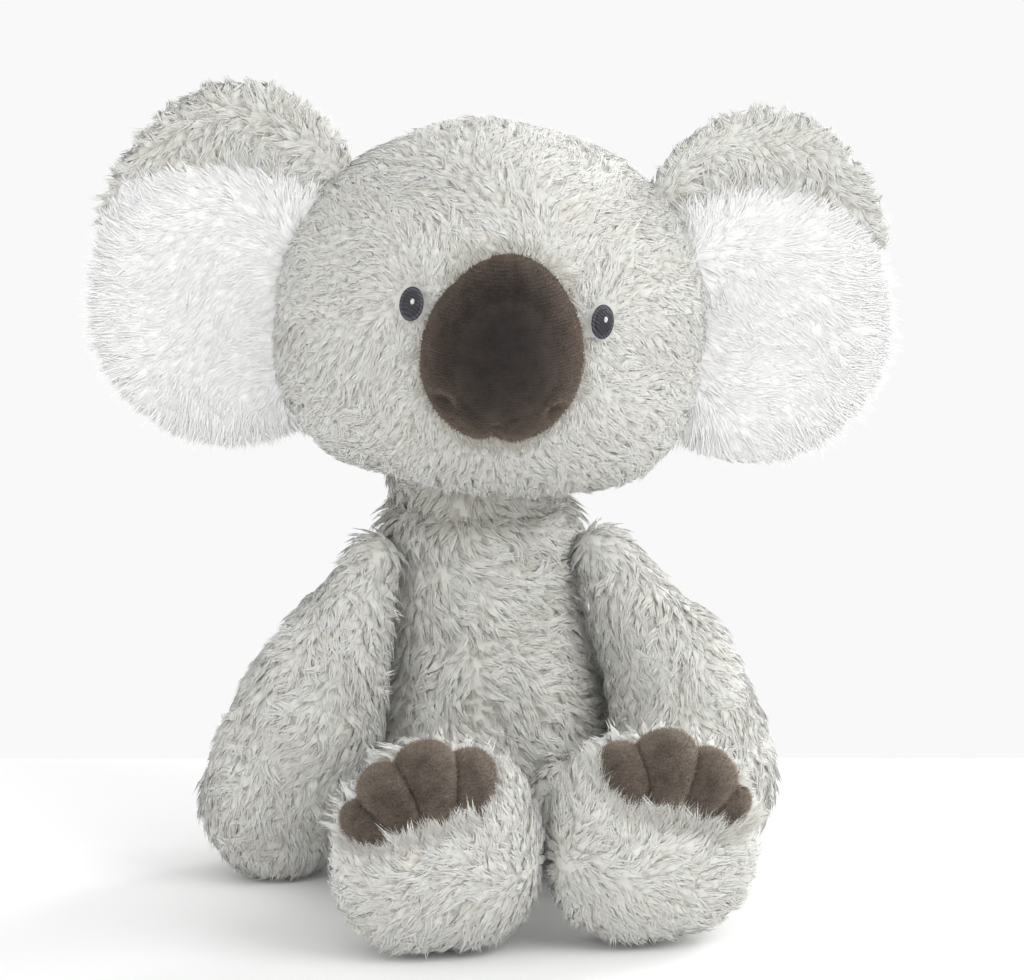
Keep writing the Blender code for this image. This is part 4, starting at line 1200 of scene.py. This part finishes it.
for side_name, side in SIDES.items():

    def foot_surface(u, v):
        """A ball drawn towards a box, pressed in under the toes and flat on the floor."""
        ball = sphere(u, v)
        size = np.sum(np.abs(ball) ** FOOT_SQUARENESS, axis=-1, keepdims=True) ** (1 / FOOT_SQUARENESS)
        own = ball / size * (FOOT_HALVES - SKIN_DEPTH)
        own = own * (1 + waves(own, 40 * mm, seed=70 + side)[:, None] * 0.02)
        points = own + FOOT_CENTRE * [side, 1, 1]
        under = 1 - smooth_step(toe_reaches(points, side)[0], 0.85, 1.15)
        points = points - unit(own) * (under * TOE_DENT)[:, None]
        return on_floor(points)

    def foot_lay(points, normals):
        """Up over the toes' lower edge, down low on the sole and outwards between them, and back behind."""
        own = points - FOOT_CENTRE * [side, 1, 1]
        turn = math.radians(115) * (0.5 - smooth_step(own[:, 2], 14 * mm, -22 * mm)) + math.radians(10)
        flow = np.stack([side * np.cos(turn), 0 * turn, np.sin(turn)], axis=-1)
        behind = smooth_step(own[:, 1], -14 * mm, 2 * mm)[:, None]
        flow = flow * (1 - behind) + unit(own * [1, 0.3, 1]) * behind + np.array([0, 0.6, 0]) * behind
        return wavy(flow, points, normals, (26 * mm, 0.5, 72 + side), (13 * mm, 0.35, 74 + side))

    def off_the_toes(points):
        """No fur grows where the toes are sunk in the foot."""
        return np.where(toe_reaches(points, side)[0] < 1.0, 0, 1)

    def long_by_the_toes(points):
        """Hair is longer under the toes of the toy's left foot, whose lower edge it hides."""
        near = 1 - smooth_step(toe_reaches(points, side)[0], 1.05, 1.5)
        ahead = smooth_step(FOOT_CENTRE[1] - points[:, 1], 6 * mm, 14 * mm)
        return near_floor(points) * (1 + (0.05 + 0.2 * (side > 0)) * near * ahead)

    def under_the_toes(points):
        """A band on the front just below the toes, where single hairs stray over them."""
        reach = toe_reaches(points, side)[0]
        ahead = points[:, 1] < FOOT_CENTRE[1] - 6 * mm
        return np.where((reach > 1.0) & (reach < 1.35) & ahead, 1, 0)

    foot = sewn(
        f"foot_{side_name}_plush",
        [
            skin(foot_surface, across=56, down=40),
            pile(
                foot_surface, tufts=1600, lay=foot_lay, seed=80 + side, length=8.5 * mm, width=4.6 * mm,
                lift=0.12, stray=0.34, roundness=0.14, density=off_the_toes, trim=long_by_the_toes,
            ),
            velvet(
                foot_surface, hairs=1800, seed=85 + side, length=(7.5 + side) * mm, density=under_the_toes,
                lay=foot_lay,
            ),
        ],
        grey_fur,
    )
    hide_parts(f"foot_{side_name}_fur", f"foot_{side_name}_sole")
    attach(foot, f"foot_{side_name}")

    def off_the_dent(points):
        """No pile where the toes are sunk in the foot or in each other."""
        inside = toe_reaches(points, side)[0] < 0.93
        return np.where(inside | (points[:, 1] > TOES_BACK), 0, 1)

    def in_a_cleft(points):
        """The pile is in shade where a toe meets the next."""
        return 1 - smooth_step(toe_reaches(points, side)[1], 1.0, 1.2)

    toe_nets = []
    for degrees, share in TOE_PLACES:

        def toe_surface(u, v):
            """An egg that points out from the foot's centre, a little slack."""
            ball = sphere(u, v)
            slack = 1 + waves(ball, 1.4, seed=90 + degrees)[:, None] * 0.025
            own = ball * (TOE_HALVES * share + TOE_SLACK) * slack
            own = (own + TOE_PLACE) @ turned(1, math.radians(side * degrees)).T
            return own + FOOT_CENTRE * [side, 1, 1]

        toe_nets.append(skin(toe_surface, across=56, down=44))
        toe_nets.append(velvet(
            toe_surface, hairs=3600, seed=95 + degrees + side, length=1.5 * mm, density=off_the_dent,
            deep=in_a_cleft,
        ))
    toes = sewn(f"foot_{side_name}_toes_plush", toe_nets, toe_plush)
    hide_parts(f"foot_{side_name}_toes")
    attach(toes, f"foot_{side_name}")

# Inside: polyester fibre in the body, head, nose and limbs, and a calico pouch of pellets in the
# seat. None of it shows unless the toy is opened.

# Loose polyester fibre: white, matt, with soft tufts about 6 mm wide
fibre, tree = material("polyester_fibre")
place = add(tree, "TexCoord").outputs["Object"]
tufts = add(tree, "TexNoise", {"Scale": 0.16 / mm, "Detail": 6.0}, {"Vector": place})
tint = add(tree, "ValToRGB", {}, {0: tufts})
tint.color_ramp.elements[0].color = linear("E6E5E0")
tint.color_ramp.elements[1].color = linear("FAFAF8")
surfaced(tree, {"Roughness": 0.95, "Specular IOR Level": 0.2}, tint, tufts, strength=0.8, depth=2 * mm)

# Unbleached calico: plain weave, threads 0.6 mm apart
calico, tree = material("unbleached_calico")
place = add(tree, "TexCoord").outputs["Object"]
threads = [
    add(
        tree, "TexWave", {"bands_direction": way, "Scale": 0.52 / mm, "Distortion": 0.5}, {"Vector": place},
    ).outputs["Fac"]
    for way in ("X", "Y")
]
weave = add(tree, "Math", {"operation": "MULTIPLY"}, dict(enumerate(threads)))
tint = add(tree, "ValToRGB", {}, {0: weave})
tint.color_ramp.elements[0].color = linear("D2C8B2")
tint.color_ramp.elements[1].color = linear("EDE6D6")
surfaced(tree, {"Roughness": 0.9, "Specular IOR Level": 0.3}, tint, weave, strength=0.7, depth=0.4 * mm)

for node_name in ("body_stuffing", "head_stuffing", "nose_stuffing"):
    finished(node_name, fibre)
for side_name in SIDES:
    for limb_name in ("arm", "leg", "foot"):
        finished(f"{limb_name}_{side_name}_stuffing", fibre)
finished("pellet_pouch", calico)
